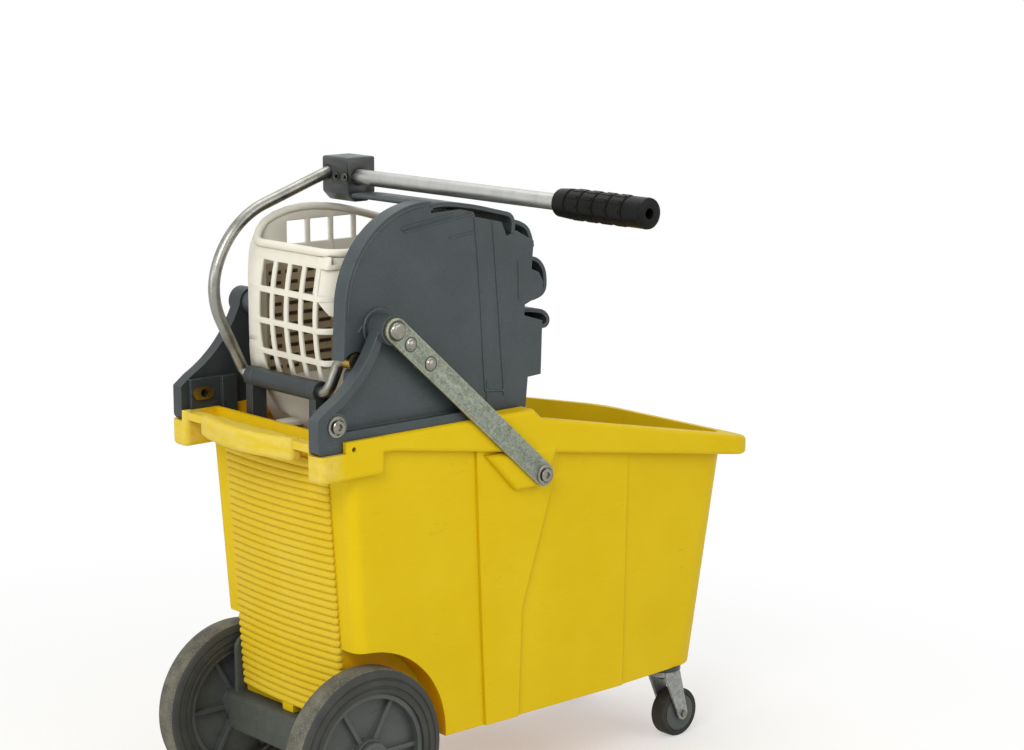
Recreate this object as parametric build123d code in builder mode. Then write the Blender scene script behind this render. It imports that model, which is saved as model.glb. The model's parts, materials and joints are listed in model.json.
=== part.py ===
from build123d import *
import os
from math import atan2, cos, degrees, hypot, radians, sin

# A wheeled mop bucket with a lever wringer. +X points to the caster end, +Y to the far side, +Z up.
# The origin is on the floor, below the middle of the rear axle. Sizes are in millimetres.
os.makedirs("parts", exist_ok=True)

# Fits
RUN_CLEAR = 0.05
BODY_GAP = 0.3
DOME_SHARE = 0.9
SIDES = {"near": -1, "far": 1}

# Rear running gear
WHEEL_DIA = 180.0
TYRE_WIDTH = 32.0
TYRE_DEPTH = 24.0
TYRE_EDGE = 7.0
TRACK = 221.0
AXLE_DIA = 12.0
HUB_BOSS_R = 19.0
HUB_WEB = 5.0
HUB_RING = 6.0
SPOKE_COUNT = 6
SPOKE_THICK = 5.0
SPOKE_REACH = 8.0
CAP_R = 17.0
CAP_HEIGHT = 7.0
AXLE_TUCK = 3.0
BEAM_DEPTH = 46.0
BEAM_HEIGHT = 40.0
BEAM_EDGE = 5.0
UPRIGHT_THICK = 5.0
UPRIGHT_HEIGHT = 66.0
UPRIGHT_WIDTH = 30.0
UPRIGHT_SCREW_R = 3.0
UPRIGHT_SCREW_DEPTH = 8.0
UPRIGHT_SCREW_RISE = 50.0
WHEEL_SIDE_GAP = 4.0
HUB_SETBACK = 3.0
TONGUE_WIDTH = 18.0
TONGUE_HEIGHT = 20.0
TONGUE_THICK = 12.0

# Casters
CASTER_DIA = 55.0
CASTER_WIDTH = 20.0
CASTER_TYRE = 7.0
CASTER_X = 444.0
CASTER_Y = 89.0
CASTER_TRAIL = -17.0
CASTER_PLATE_R = 19.0
CASTER_PLATE_THICK = 5.0
KING_PIN_R = 5.0
KING_HEAD_R = 9.0
KING_HEAD_THICK = 4.0
FORK_PLATE_R = 17.0
FORK_PLATE_THICK = 6.0
FORK_LEG_THICK = 3.5
FORK_LEG_WIDTH = 22.0
FORK_SIDE_GAP = 2.0
CASTER_AXLE_R = 3.5
CASTER_AXLE_END = 2.5
CASTER_STEM_R = 5.5
CASTER_STEM = 18.0
SOCKET_WALL = 5.0

# Tub
TUB_BOTTOM = 86.0
RIM_TOP = 415.0
REAR_X = -22.0
REAR_RAKE = 22.0
FRONT_X = 546.0
FRONT_RAKE = 57.0
HALF_TOP = 119.0
HALF_BOTTOM = 113.0
CREASE_X = 358.0
CREASE_RAKE = 2.0
CREASE_STEP = 2.0
NOSE_TAPER = 10.0
NOSE_R = 40.0
REAR_R = 14.0
WALL = 4.0
ARCH_R = 105.0
ARCH_PAD = 12.0
PILLAR_RISE = [
    (0.0, 157.0, 202.0),
    (0.36, 150.0, 205.0),
    (0.71, 144.0, 242.0),
    (0.95, 140.0, 262.0),
]
PILLAR_PROUD = 3.0
RIM_OVERHANG = 9.0
RIM_BAND = 17.0
RIM_FRONT_X = 552.0
RIM_NOSE_R = 36.0
RIM_SLOPE_X = 30.0
LEDGE_WIDTH = 13.0
SHOULDER_X = 214.0
SHOULDER_RUN = 12.0
SHOULDER_DROP = 11.0
FRONT_RIM_TOP = 337.0
FRONT_RIM_FOOT = 317.0
RIM_EDGE_R = 5.0
RIB_COUNT = 34
RIB_PITCH = 7.9
RIB_HEIGHT = 4.6
RIB_TOP = 380.0
RIB_HALF_SPAN = 84.0
RIB_EDGE_PROUD = 3.0
RIB_BOW = 6.0
RIB_ROOT = 2.0

# Rear grip and corner blocks of the rim
BLOCK_REAR_X = -60.0
BLOCK_FRONT_X = 20.0
BLOCK_HEIGHT = 38.0
BLOCK_INSIDE = 103.0
BLOCK_EDGE_R = 7.0
BLOCK_FOOT_R = 5.0
GRIP_REAR_X = -58.0
GRIP_THICK = 17.0
GRIP_BOW = 14.0
GRIP_HALF_SPAN = 78.0
GRIP_HEIGHT = 23.0
GRIP_EDGE_R = 6.0
BRIDGE_THICK = 8.0
BRIDGE_INSET = 2.0
TAB_WIDTH = 18.0
TAB_REACH = 10.0
TAB_HEIGHT = 8.0
TAB_DROP = 23.0
ACCESSORY_HOLE_R = 2.5
ACCESSORY_HOLE_DEPTH = 14.0
ACCESSORY_HOLE_X = -20.0
ACCESSORY_HOLE_DROP = 8.0

# Wringer frame
PIVOT_X = 30.0
PIVOT_Z = 518.0
BRACKET_INSET = 19.0
BRACKET_DEPTH = 14.0
BRACKET_WEB = 5.0
BRACKET_FLANGE = 9.0
BRACKET_REAR_X = -60.0
BRACKET_KNEE_X = -46.0
BRACKET_KNEE_Z = 450.0
BRACKET_WAIST_X = -14.0
BRACKET_WAIST_Z = 474.0
BRACKET_FRONT_X = 150.0
FOOT_FRONT_X = -30.0
FOOT_DROP = 11.0
FOOT_CLEAR = 0.5
FOOT_CORNER_R = 7.0
APEX_R = 15.0
STRAP_STANDOFF = 6.0
STRAP_THICK = 4.0
STRAP_WIDTH = 25.0
STRAP_END_X = 223.0
STRAP_END_Z = 346.0
STRAP_RIVET_RUN = (23.0, 56.0)
RIVET_BOSS_R = 7.0
RIVET_R = 3.0
RIVET_HEAD_R = 5.0
RIVET_HEAD = 3.0
STRAP_BOLT_R = 4.0
STRAP_BOLT_HEAD_R = 8.0
STRAP_BOLT_HEAD = 4.5
STRAP_BOSS_R = 13.0
GUSSET_X = 191.0
GUSSET_TOP_X = 150.0
GUSSET_TOP_DROP = 40.0
GUSSET_EDGE_R = 6.0
PIVOT_PIN_R = 6.0
PIVOT_HEAD_R = 9.0
PIVOT_HEAD = 4.5
FRAME_BOLT_X = -37.0
FRAME_BOLT_Z = 431.0
FRAME_BOLT_R = 4.0
FRAME_BOLT_HEAD_R = 8.5
FRAME_BOLT_HEAD = 5.0
NUT_PLATE_LENGTH = 24.0
NUT_PLATE_WIDTH = 13.0
NUT_PLATE_THICK = 3.5

# Cross member with the lever bearing
MEMBER_REAR_X = -14.0
MEMBER_DEPTH = 18.0
MEMBER_TOP = 401.0
MEMBER_HEIGHT = 18.0
END_PLATE_THICK = 5.0
END_PLATE_REAR_X = -51.0
END_PLATE_TOP = 446.0
LEG_THICK = 5.0
LEG_CLEAR = 0.5
LEVER_X = -7.0
LEVER_Z = 452.0
ROD_R = 6.0
SLEEVE_R = 10.0
EAR_HALF_SPAN = 59.0
EAR_THICK = 11.0
EAR_R = 10.5

# Wringer basket
BASKET_NEAR_Y = -66.0
BASKET_FAR_Y = 76.0
BASKET_WALL = 3.0
BASKET_FAR_R = 22.0
BASKET_NEAR_R = 22.0
BASKET_RISE = 60.0
BASKET_TOP_X = 2.0
BASKET_TOP_Z = 578.0
BASKET_BULGE_X = -6.0
BASKET_BULGE_FALL = 48.0
BASKET_KNEE_X = 10.0
BASKET_KNEE_Z = 436.0
BASKET_FLOOR_R = 141.0
BASKET_FLOOR_START = 276.0
BASKET_FLOOR_END = 320.0
FAR_WALL_FRONT_X = 184.0
FAR_WALL_FRONT_FALL = 21.0
FAR_RIM_CLEAR = 3.0
FAR_RIM_X = 94.0
FAR_RIM_LOW = [(24.0, 13.0), (8.0, 29.0)]
NEAR_RIM_FALL = 1.0
NEAR_WALL_FRONT_Z = 548.0
WINDOW_COLUMNS = 5
WINDOW_ROWS = 4
WINDOW_WIDTH = 18.0
WINDOW_BAR = 6.0
WINDOW_FOOT_RISE = 14.0
WINDOW_TOP_FALL = 6.0
WINDOW_MID_Y = -12.0
FAR_WINDOW_COUNT = 4
FAR_WINDOW = 24.0
FAR_WINDOW_X = 51.0
FAR_WINDOW_FALL = 27.0
LUG_Y = 30.0
LUG_WIDTH = 16.0
LUG_THICK = 6.0
LUG_SCREW_R = 3.0
LUG_SCREW_HEAD_R = 5.5
LUG_SCREW_HEAD = 3.5
LUG_SCREW_DEPTH = 12.0

# Press drum
DRUM_INSIDE = 85.0
DRUM_DEPTH = 18.0
DRUM_WEB = 4.0
DRUM_FLANGE = 4.0
DRUM_ARC_X = 91.0
DRUM_ARC_Z = 535.0
DRUM_ARC_R = 101.0
DRUM_HUB_R = 15.0
DRUM_EDGE = [
    (98.0, 624.0),
    (136.0, 625.0),
    (153.0, 621.0),
    (155.0, 616.0),
    (190.0, 608.0),
    (197.0, 593.0),
    (211.0, 597.0),
    (234.0, 585.0),
    (231.0, 556.0),
    (241.0, 552.0),
    (247.0, 542.0),
    (246.0, 529.0),
    (222.0, 520.0),
    (221.0, 509.0),
    (246.0, 501.0),
    (244.0, 445.0),
    (226.0, 444.0),
]
DRUM_FOOT_X = 222.0
DRUM_FOOT_Z = 405.0
DRUM_HEEL_X = 66.0
DRUM_WAIST_X = 41.0
DRUM_WAIST_Z = 450.0
DRUM_SHIN_X = 4.0
DRUM_SHIN_Z = 462.0
DRUM_REAR_X = -13.0
DRUM_REAR_Z = 478.0
DRUM_ARC_START = 180.0
DRUM_ARC_END = 86.0
DRUM_POCKET_X = 120.0
DRUM_POCKET_WIDTH = 94.0
DRUM_POCKET_Z = 414.0
DRUM_POCKET_HEIGHT = 172.0
FAR_HUB_R = 13.0
FAR_ARM_R = 14.0
FAR_PLATE_INSIDE = 81.0
FAR_PLATE_DEPTH = 12.0
SLAT_THICK = 4.0
TOP_SLAT = [(98.0, 631.0), (118.0, 632.0), (152.0, 627.0), (197.0, 615.5), (204.0, 611.0), (205.5, 601.0)]
LIP_SLAT = [(214.0, 606.0), (228.0, 601.0), (239.0, 595.0), (248.0, 577.0)]
NOSE_SLAT = [(228.0, 568.0), (252.0, 563.0), (264.0, 541.0), (262.0, 523.0), (228.0, 517.0)]
FINGER_SLAT = [(234.0, 511.0), (252.0, 507.0), (268.0, 496.0), (252.0, 493.0)]
FAR_ARM = [(238.0, 505.0), (234.0, 592.0)]
TOP_SLAT_FAR_Y = 22.0
PRESS_R = 134.0
PRESS_TOP_X = 104.0
PRESS_TOP_CLEAR = 52.0
PRESS_ANGLE = 320.0
PRESS_THICK = 5.0
PRESS_SIDE_GAP = 3.0
PRESS_WEB_Y = (-40.0, 28.0)
PRESS_WEB = 6.0
PRESS_WEB_TOP_Z = 565.0
PRESS_WEB_FOOT_Z = 500.0

# Lever
LEVER_RANGE = 60.0
DRUM_RATIO = 0.45
CRANK_REACH = 36.0
CRANK_ANGLE = 75.0
CRANK_BUSH_R = 8.0
CRANK_BUSH_LENGTH = 13.0
CRANK_SLOT_CLEAR = 2.0
CRANK_FOOT_Y = -70.0
NOTCH_STEPS = 30
HOOP_Y = 70.0
HOOP_X = -49.0
HOOP_FALL = 119.0
HOOP_BEND_R = 70.0
HOOP_SHOULDER_X = -22.0
HOOP_SHOULDER_FALL = 47.0
HOOP_SHOULDER_R = 95.0
ROD_RISE = 9.0
ROD_END_X = 118.0
ROD_TIGHT_R = 9.5
CRANK_BEND_R = 12.0
BLOCK_X = 102.0
CLAMP_DEPTH = 36.0
CLAMP_NEAR_Y = 36.0
CLAMP_FAR_Y = 79.5
CLAMP_ABOVE = 20.0
CLAMP_BELOW = 26.0
CLAMP_CHAMFER = 9.0
TUBE_X = 116.0
TUBE_CLEAR = 16.0
TUBE_R = 8.0
TUBE_BORE_R = 6.5
TUBE_TUCK = 24.0
TUBE_END_Y = -381.0
GRUB_R = 4.0
GRUB_SOCKET_R = 2.4
GRUB_SPACING = 14.0
HEX_SIDES = 6
HANDLE_GRIP_R = 15.0
HANDLE_GRIP_START_Y = -272.0
HANDLE_GRIP_END_Y = -390.0
GRIP_HOLE_R = 5.0
GRIP_GROOVES = 5
GRIP_GROOVE_WIDTH = 3.0
GRIP_GROOVE_DEPTH = 1.0

# Values worked out from the sizes above
TUBE_Z = max(height for _, height in TOP_SLAT) + TUBE_CLEAR
CLAMP_BOTTOM = TUBE_Z - CLAMP_BELOW
ROD_TOP_Z = TUBE_Z + ROD_RISE
HOOP_SHOULDER_Z = ROD_TOP_Z - HOOP_SHOULDER_FALL
HOOP_Z = ROD_TOP_Z - HOOP_FALL
PRESS_TOP_Z = CLAMP_BOTTOM - PRESS_TOP_CLEAR
FAR_RIM_Z = CLAMP_BOTTOM - FAR_RIM_CLEAR
FAR_WALL_FRONT_Z = FAR_RIM_Z - FAR_WALL_FRONT_FALL
BASKET_BULGE_Z = BASKET_TOP_Z - BASKET_BULGE_FALL
NEAR_RIM_Z = BASKET_TOP_Z - NEAR_RIM_FALL
WINDOW_FOOT = BASKET_KNEE_Z + WINDOW_FOOT_RISE
WINDOW_TOP = BASKET_TOP_Z - WINDOW_TOP_FALL
WINDOW_HEIGHT = (WINDOW_TOP - WINDOW_FOOT + WINDOW_BAR) / WINDOW_ROWS - WINDOW_BAR
AXLE_Z = WHEEL_DIA / 2
WHEEL_Y = TRACK / 2
WHEEL_INSIDE = WHEEL_Y - TYRE_WIDTH / 2
AXLE_R = AXLE_DIA / 2
HUB_R = WHEEL_DIA / 2 - TYRE_DEPTH
UPRIGHT_OUTSIDE = WHEEL_INSIDE - WHEEL_SIDE_GAP
NARROW_HALF = UPRIGHT_OUTSIDE - UPRIGHT_THICK
BEAM_TOP = AXLE_Z + BEAM_HEIGHT / 2
FORK_TOP = TUB_BOTTOM - CASTER_PLATE_THICK - BODY_GAP
RIM_OUTSIDE = HALF_TOP + RIM_OVERHANG
LEDGE_INSIDE = HALF_TOP - LEDGE_WIDTH
BRACKET_INSIDE = RIM_OUTSIDE - BRACKET_INSET
BRACKET_OUTSIDE = BRACKET_INSIDE + BRACKET_DEPTH
STRAP_INSIDE = BRACKET_OUTSIDE + STRAP_STANDOFF
STRAP_OUTSIDE = STRAP_INSIDE + STRAP_THICK
FOOT_BOTTOM = RIM_TOP - FOOT_DROP
END_PLATE_INSIDE = BRACKET_INSIDE - END_PLATE_THICK
DRUM_OUTSIDE = DRUM_INSIDE + DRUM_DEPTH
FAR_PLATE_OUTSIDE = FAR_PLATE_INSIDE + FAR_PLATE_DEPTH
STRAP_LENGTH = hypot(STRAP_END_X - PIVOT_X, STRAP_END_Z - PIVOT_Z)
STRAP_DIR_X = (STRAP_END_X - PIVOT_X) / STRAP_LENGTH
STRAP_DIR_Z = (STRAP_END_Z - PIVOT_Z) / STRAP_LENGTH
CRANK_X = LEVER_X + CRANK_REACH * cos(radians(CRANK_ANGLE))
CRANK_Z = LEVER_Z + CRANK_REACH * sin(radians(CRANK_ANGLE))
RIB_BOTTOM = RIB_TOP - RIB_PITCH * (RIB_COUNT - 1)


def side_plane(side, inner, outer):
    """Upright plane on the +Y face of a slab that lies from inner to outer on one side."""
    return Plane.XZ.offset(-max(side * inner, side * outer))


def outward_plane(side, distance, x, z):
    """Plane across the width whose normal points away from the middle of the bucket."""
    return Plane(origin=(x, side * distance, z), x_dir=(1, 0, 0), z_dir=(0, side, 0))


def rear_wall(height):
    """Place along X of the raked rear wall at a height."""
    return REAR_X + REAR_RAKE * (RIM_TOP - height) / (RIM_TOP - TUB_BOTTOM)


def tub_section(height, inset):
    """Plan outline of the tub wall at a height, moved inwards by inset."""
    share = (height - TUB_BOTTOM) / (RIM_TOP - TUB_BOTTOM)
    half = HALF_BOTTOM + (HALF_TOP - HALF_BOTTOM) * share - inset
    front = FRONT_X - FRONT_RAKE * (1 - share) - inset
    crease = CREASE_X - CREASE_RAKE * (1 - share)
    rear = rear_wall(height) + inset
    with BuildSketch(Plane.XY.offset(height)) as section:
        with BuildLine():
            Polyline(
                (rear, -half),
                (crease, -half),
                (crease, CREASE_STEP - half),
                (front, NOSE_TAPER - half),
                (front, half - NOSE_TAPER),
                (crease, half - CREASE_STEP),
                (crease, half),
                (rear, half),
                close=True,
            )
        make_face()
        fillet(section.vertices().group_by(Axis.X)[-1], NOSE_R - inset)
        fillet(section.vertices().group_by(Axis.X)[0], REAR_R - inset)
    return section.sketch


def write(builder, name):
    """Label a finished piece and write its file."""
    builder.part.label = name
    export_step(builder.part, f"parts/{name}.step")


# Inside of the tub: the water space, kept clear of the wheel arches, the beam and the rim ledges
INSIDE_TOP = RIM_TOP + RIM_BAND
NOTCH_FRONT_X = BEAM_DEPTH / 2 + WHEEL_SIDE_GAP
with BuildPart() as tub_inside:
    loft([tub_section(TUB_BOTTOM + WALL, WALL), tub_section(INSIDE_TOP, WALL)])
    for side in SIDES.values():
        with BuildSketch(side_plane(side, NARROW_HALF - ARCH_PAD, RIM_OUTSIDE)):
            with Locations((0, AXLE_Z)):
                Circle(ARCH_R + WALL)
                Rectangle(-REAR_X * 2, ARCH_R + WALL, align=(Align.MAX, Align.MIN))
        extrude(amount=RIM_OUTSIDE - NARROW_HALF + ARCH_PAD, mode=Mode.SUBTRACT)
        with BuildSketch(side_plane(side, LEDGE_INSIDE, RIM_OUTSIDE)):
            with Locations((REAR_X, INSIDE_TOP)):
                Rectangle(SHOULDER_X - REAR_X, RIM_BAND * 2, align=(Align.MIN, Align.MAX))
        extrude(amount=RIM_OUTSIDE - LEDGE_INSIDE, mode=Mode.SUBTRACT)
    with BuildSketch(Plane.XZ):
        with Locations((REAR_X, 0)):
            Rectangle(NOTCH_FRONT_X + WALL - REAR_X, BEAM_TOP + WALL, align=Align.MIN)
    extrude(amount=RIM_OUTSIDE, both=True, mode=Mode.SUBTRACT)
    with BuildSketch(Plane.XY.offset(TUB_BOTTOM)):
        with GridLocations(0, CASTER_Y * 2, 1, 2):
            with Locations((CASTER_X, 0)):
                Circle(CASTER_STEM_R + SOCKET_WALL)
    extrude(amount=CASTER_STEM + SOCKET_WALL, mode=Mode.SUBTRACT)

# Rolled rim of the tub, level round the wringer and sloping down towards the casters
with BuildPart() as tub_rim:
    with BuildSketch(Plane.XY.offset(FRONT_RIM_FOOT)) as rim_plan:
        with Locations((REAR_X, 0)):
            Rectangle(RIM_FRONT_X - REAR_X, RIM_OUTSIDE * 2, align=(Align.MIN, Align.CENTER))
        fillet(rim_plan.vertices().group_by(Axis.X)[-1], RIM_NOSE_R)
        fillet(rim_plan.vertices().group_by(Axis.X)[0], REAR_R)
    extrude(amount=RIM_TOP - FRONT_RIM_FOOT)
    with BuildSketch(Plane.XZ):
        with BuildLine():
            Polyline(
                (REAR_X, RIM_TOP),
                (SHOULDER_X, RIM_TOP),
                (SHOULDER_X + SHOULDER_RUN, RIM_TOP - SHOULDER_DROP),
                (RIM_FRONT_X, FRONT_RIM_TOP),
                (RIM_FRONT_X, FRONT_RIM_FOOT),
                (RIM_SLOPE_X, RIM_TOP - RIM_BAND),
                (REAR_X, RIM_TOP - RIM_BAND),
                close=True,
            )
        make_face()
    extrude(amount=RIM_OUTSIDE * 2, both=True, mode=Mode.INTERSECT)
    rim_across = tub_rim.edges().filter_by(Axis.Y)
    rim_round = tub_rim.edges() - tub_rim.edges().filter_by(Axis.Z) - rim_across
    fillet(rim_round + rim_across.group_by(Axis.X)[-1], RIM_EDGE_R)

# Rear grip: a bowed bar with rounded edges between two thin bridges
with BuildPart() as rear_grip:
    with BuildSketch(Plane.XY.offset(RIM_TOP)):
        with BuildLine():
            grip_front = ThreePointArc(
                (GRIP_REAR_X + GRIP_THICK, -GRIP_HALF_SPAN),
                (GRIP_REAR_X + GRIP_THICK - GRIP_BOW, 0),
                (GRIP_REAR_X + GRIP_THICK, GRIP_HALF_SPAN),
            )
            grip_rear = ThreePointArc(
                (GRIP_REAR_X, GRIP_HALF_SPAN),
                (GRIP_REAR_X - GRIP_BOW, 0),
                (GRIP_REAR_X, -GRIP_HALF_SPAN),
            )
            Line(grip_front @ 1, grip_rear @ 0)
            Line(grip_rear @ 1, grip_front @ 0)
        make_face()
    extrude(amount=-GRIP_HEIGHT)
    fillet(rear_grip.edges(), GRIP_EDGE_R)

# Tub: one moulding with the ribbed rear wall, wheel arches, rim, rear grip and strap bosses
with BuildPart() as bucket_tub:
    loft([tub_section(TUB_BOTTOM, 0), tub_section(RIM_TOP, 0)])
    for side in SIDES.values():
        for share, rear, front in PILLAR_RISE:
            half = HALF_BOTTOM + (HALF_TOP - HALF_BOTTOM) * share
            with BuildSketch(Plane.XY.offset(TUB_BOTTOM + (RIM_TOP - TUB_BOTTOM) * share)):
                with Locations((rear, side * (half + PILLAR_PROUD))):
                    Rectangle(
                        front - rear,
                        WALL * 2 + PILLAR_PROUD,
                        align=(Align.MIN, Align.MAX if side > 0 else Align.MIN),
                    )
        loft(ruled=True)
        with BuildSketch(side_plane(side, NARROW_HALF, RIM_OUTSIDE)):
            with Locations((0, AXLE_Z)):
                Circle(ARCH_R)
                Rectangle(-REAR_X * 2, ARCH_R, align=(Align.MAX, Align.MIN))
        extrude(amount=RIM_OUTSIDE - NARROW_HALF, mode=Mode.SUBTRACT)
    with BuildSketch(Plane.XZ):
        with Locations((REAR_X * 2, 0)):
            Rectangle(NOTCH_FRONT_X - REAR_X * 2, BEAM_TOP, align=Align.MIN)
    extrude(amount=RIM_OUTSIDE, both=True, mode=Mode.SUBTRACT)
    with BuildSketch(Plane.XZ):
        with BuildLine():
            Polyline(
                (SHOULDER_X, RIM_TOP),
                (SHOULDER_X + SHOULDER_RUN, RIM_TOP - SHOULDER_DROP),
                (RIM_FRONT_X, FRONT_RIM_TOP),
                (RIM_FRONT_X, RIM_TOP),
                close=True,
            )
        make_face()
    extrude(amount=RIM_OUTSIDE, both=True, mode=Mode.SUBTRACT)
    for rib in range(RIB_COUNT):
        rib_z = RIB_BOTTOM + rib * RIB_PITCH
        rib_x = rear_wall(rib_z)
        with BuildSketch(Plane.XY.offset(rib_z)):
            with BuildLine():
                rib_front = Line((rib_x + RIB_ROOT, -RIB_HALF_SPAN), (rib_x + RIB_ROOT, RIB_HALF_SPAN))
                rib_far = Line(rib_front @ 1, (rib_x - RIB_EDGE_PROUD, RIB_HALF_SPAN))
                rib_arc = ThreePointArc(
                    rib_far @ 1,
                    (rib_x - RIB_EDGE_PROUD - RIB_BOW, 0),
                    (rib_x - RIB_EDGE_PROUD, -RIB_HALF_SPAN),
                )
                Line(rib_arc @ 1, rib_front @ 0)
            make_face()
        extrude(amount=RIB_HEIGHT)
    add(tub_rim.part)
    with BuildSketch(Plane.XY.offset(BEAM_TOP + BODY_GAP)):
        with Locations((rear_wall(BEAM_TOP) + RIB_ROOT, 0)):
            Rectangle(TONGUE_THICK, TONGUE_WIDTH, align=(Align.MAX, Align.CENTER))
    extrude(amount=TONGUE_HEIGHT)
    for side in SIDES.values():
        with BuildPart(mode=Mode.PRIVATE) as corner_block:
            with BuildSketch(Plane.XY.offset(RIM_TOP)) as block_plan:
                with Locations((BLOCK_REAR_X, side * (BLOCK_INSIDE + RIM_OUTSIDE) / 2)):
                    Rectangle(
                        BLOCK_FRONT_X - BLOCK_REAR_X,
                        RIM_OUTSIDE - BLOCK_INSIDE,
                        align=(Align.MIN, Align.CENTER),
                    )
                fillet(block_plan.vertices(), BLOCK_EDGE_R)
            extrude(amount=-BLOCK_HEIGHT)
            fillet(corner_block.faces().sort_by(Axis.Z)[0].edges(), BLOCK_FOOT_R)
        add(corner_block.part)
        with BuildPart(mode=Mode.PRIVATE) as strap_gusset:
            with BuildSketch(side_plane(side, HALF_BOTTOM - WALL, STRAP_INSIDE)):
                with BuildLine():
                    Polyline(
                        (GUSSET_TOP_X, RIM_TOP - GUSSET_TOP_DROP),
                        (STRAP_END_X + STRAP_BOSS_R * 2, RIM_TOP - GUSSET_TOP_DROP),
                        (STRAP_END_X + STRAP_BOSS_R, STRAP_END_Z),
                        (STRAP_END_X, STRAP_END_Z - STRAP_BOSS_R),
                        (GUSSET_X, STRAP_END_Z - STRAP_BOSS_R),
                        close=True,
                    )
                make_face()
            extrude(amount=STRAP_INSIDE - HALF_BOTTOM + WALL)
            gusset_ends = strap_gusset.faces().filter_by(Axis.Y).sort_by(Axis.Y)
            fillet(gusset_ends[-1 if side > 0 else 0].edges(), GUSSET_EDGE_R)
        add(strap_gusset.part)
    add(rear_grip.part)
    with BuildSketch(Plane.XY.offset(RIM_TOP - BRIDGE_INSET)):
        with Locations((GRIP_REAR_X + BRIDGE_INSET, 0)):
            Rectangle(
                GRIP_THICK - BRIDGE_INSET * 2,
                (BLOCK_INSIDE + BLOCK_EDGE_R) * 2,
                align=(Align.MIN, Align.CENTER),
            )
    extrude(amount=-BRIDGE_THICK)
    with BuildSketch(Plane.XY.offset(RIM_TOP - TAB_DROP)):
        with Locations((REAR_X + RIB_ROOT, 0)):
            Rectangle(TAB_REACH + RIB_ROOT, TAB_WIDTH, align=(Align.MAX, Align.CENTER))
    extrude(amount=-TAB_HEIGHT)
    add(tub_inside.part, mode=Mode.SUBTRACT)
    for side in SIDES.values():
        with BuildSketch(side_plane(side, BRACKET_INSIDE - FOOT_CLEAR, RIM_OUTSIDE)):
            with Locations((FOOT_FRONT_X + FOOT_CLEAR, FOOT_BOTTOM)):
                Rectangle(
                    FOOT_FRONT_X - BRACKET_REAR_X + FOOT_CLEAR * 2,
                    FOOT_DROP,
                    align=(Align.MAX, Align.MIN),
                )
        extrude(amount=RIM_OUTSIDE - BRACKET_INSIDE + FOOT_CLEAR, mode=Mode.SUBTRACT)
        with Locations(
            outward_plane(side, RIM_OUTSIDE, ACCESSORY_HOLE_X, RIM_TOP - ACCESSORY_HOLE_DROP)
        ):
            Hole(ACCESSORY_HOLE_R, ACCESSORY_HOLE_DEPTH)
        with Locations(outward_plane(side, STRAP_INSIDE, STRAP_END_X, STRAP_END_Z)):
            Hole(STRAP_BOLT_R, STRAP_INSIDE - HALF_BOTTOM)
        with Locations(outward_plane(side, NARROW_HALF, 0, AXLE_Z + UPRIGHT_SCREW_RISE)):
            Hole(UPRIGHT_SCREW_R, UPRIGHT_SCREW_DEPTH)
        with Locations(Plane(origin=(CASTER_X, side * CASTER_Y, TUB_BOTTOM), z_dir=(0, 0, -1))):
            Hole(CASTER_STEM_R, CASTER_STEM)
write(bucket_tub, "bucket_tub")


def domed_pin(side, face, x, z, shank_r, length, head_r, head):
    """Pin across the width: a domed head stands out of a face and the shank goes inwards."""
    seat = outward_plane(side, face, x, z)
    with BuildPart() as pin:
        with BuildSketch(seat):
            Circle(head_r)
        extrude(amount=head)
        crown = pin.faces().sort_by(Axis.Y)[-1 if side > 0 else 0]
        fillet(crown.edges(), head * DOME_SHARE)
        with BuildSketch(seat):
            Circle(shank_r)
        extrude(amount=-length)
    return pin.part


# Axle beam between the rear wheels, with an upright beside each wheel arch
with BuildPart() as axle_beam:
    with BuildSketch(Plane.XZ):
        with Locations((0, AXLE_Z)):
            RectangleRounded(BEAM_DEPTH, BEAM_HEIGHT, BEAM_EDGE)
    extrude(amount=UPRIGHT_OUTSIDE, both=True)
    for side in SIDES.values():
        with BuildSketch(side_plane(side, NARROW_HALF, UPRIGHT_OUTSIDE)):
            with Locations((0, AXLE_Z + UPRIGHT_HEIGHT / 2)):
                SlotOverall(UPRIGHT_HEIGHT + UPRIGHT_WIDTH, UPRIGHT_WIDTH, rotation=90)
        extrude(amount=UPRIGHT_THICK)
        with Locations(outward_plane(side, UPRIGHT_OUTSIDE, 0, AXLE_Z + UPRIGHT_SCREW_RISE)):
            Hole(UPRIGHT_SCREW_R + RUN_CLEAR, UPRIGHT_THICK)
    with BuildSketch(Plane.XZ):
        with Locations((0, AXLE_Z)):
            Circle(AXLE_R + RUN_CLEAR)
    extrude(amount=UPRIGHT_OUTSIDE, both=True, mode=Mode.SUBTRACT)
write(axle_beam, "axle_beam")

with BuildPart() as beam_screws:
    for side in SIDES.values():
        add(
            domed_pin(
                side,
                UPRIGHT_OUTSIDE,
                0,
                AXLE_Z + UPRIGHT_SCREW_RISE,
                UPRIGHT_SCREW_R - RUN_CLEAR,
                UPRIGHT_THICK + UPRIGHT_SCREW_DEPTH - BODY_GAP,
                UPRIGHT_SCREW_R * 2,
                WHEEL_SIDE_GAP / 2,
            )
        )
write(beam_screws, "beam_screws")

# Rear wheels turn on the axle, and a cap pressed on each axle end keeps them there
WHEEL_OUTSIDE = WHEEL_INSIDE + TYRE_WIDTH
BOSS_INSIDE = UPRIGHT_OUTSIDE + BODY_GAP
BOSS_OUTSIDE = WHEEL_OUTSIDE - HUB_SETBACK
CAP_INSIDE = BOSS_OUTSIDE + BODY_GAP
CAP_OUTSIDE = CAP_INSIDE + CAP_HEIGHT
with BuildPart() as rear_axle:
    with BuildSketch(Plane.XZ):
        with Locations((0, AXLE_Z)):
            Circle(AXLE_R)
    extrude(amount=CAP_OUTSIDE - AXLE_TUCK, both=True)
write(rear_axle, "rear_axle")

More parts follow.
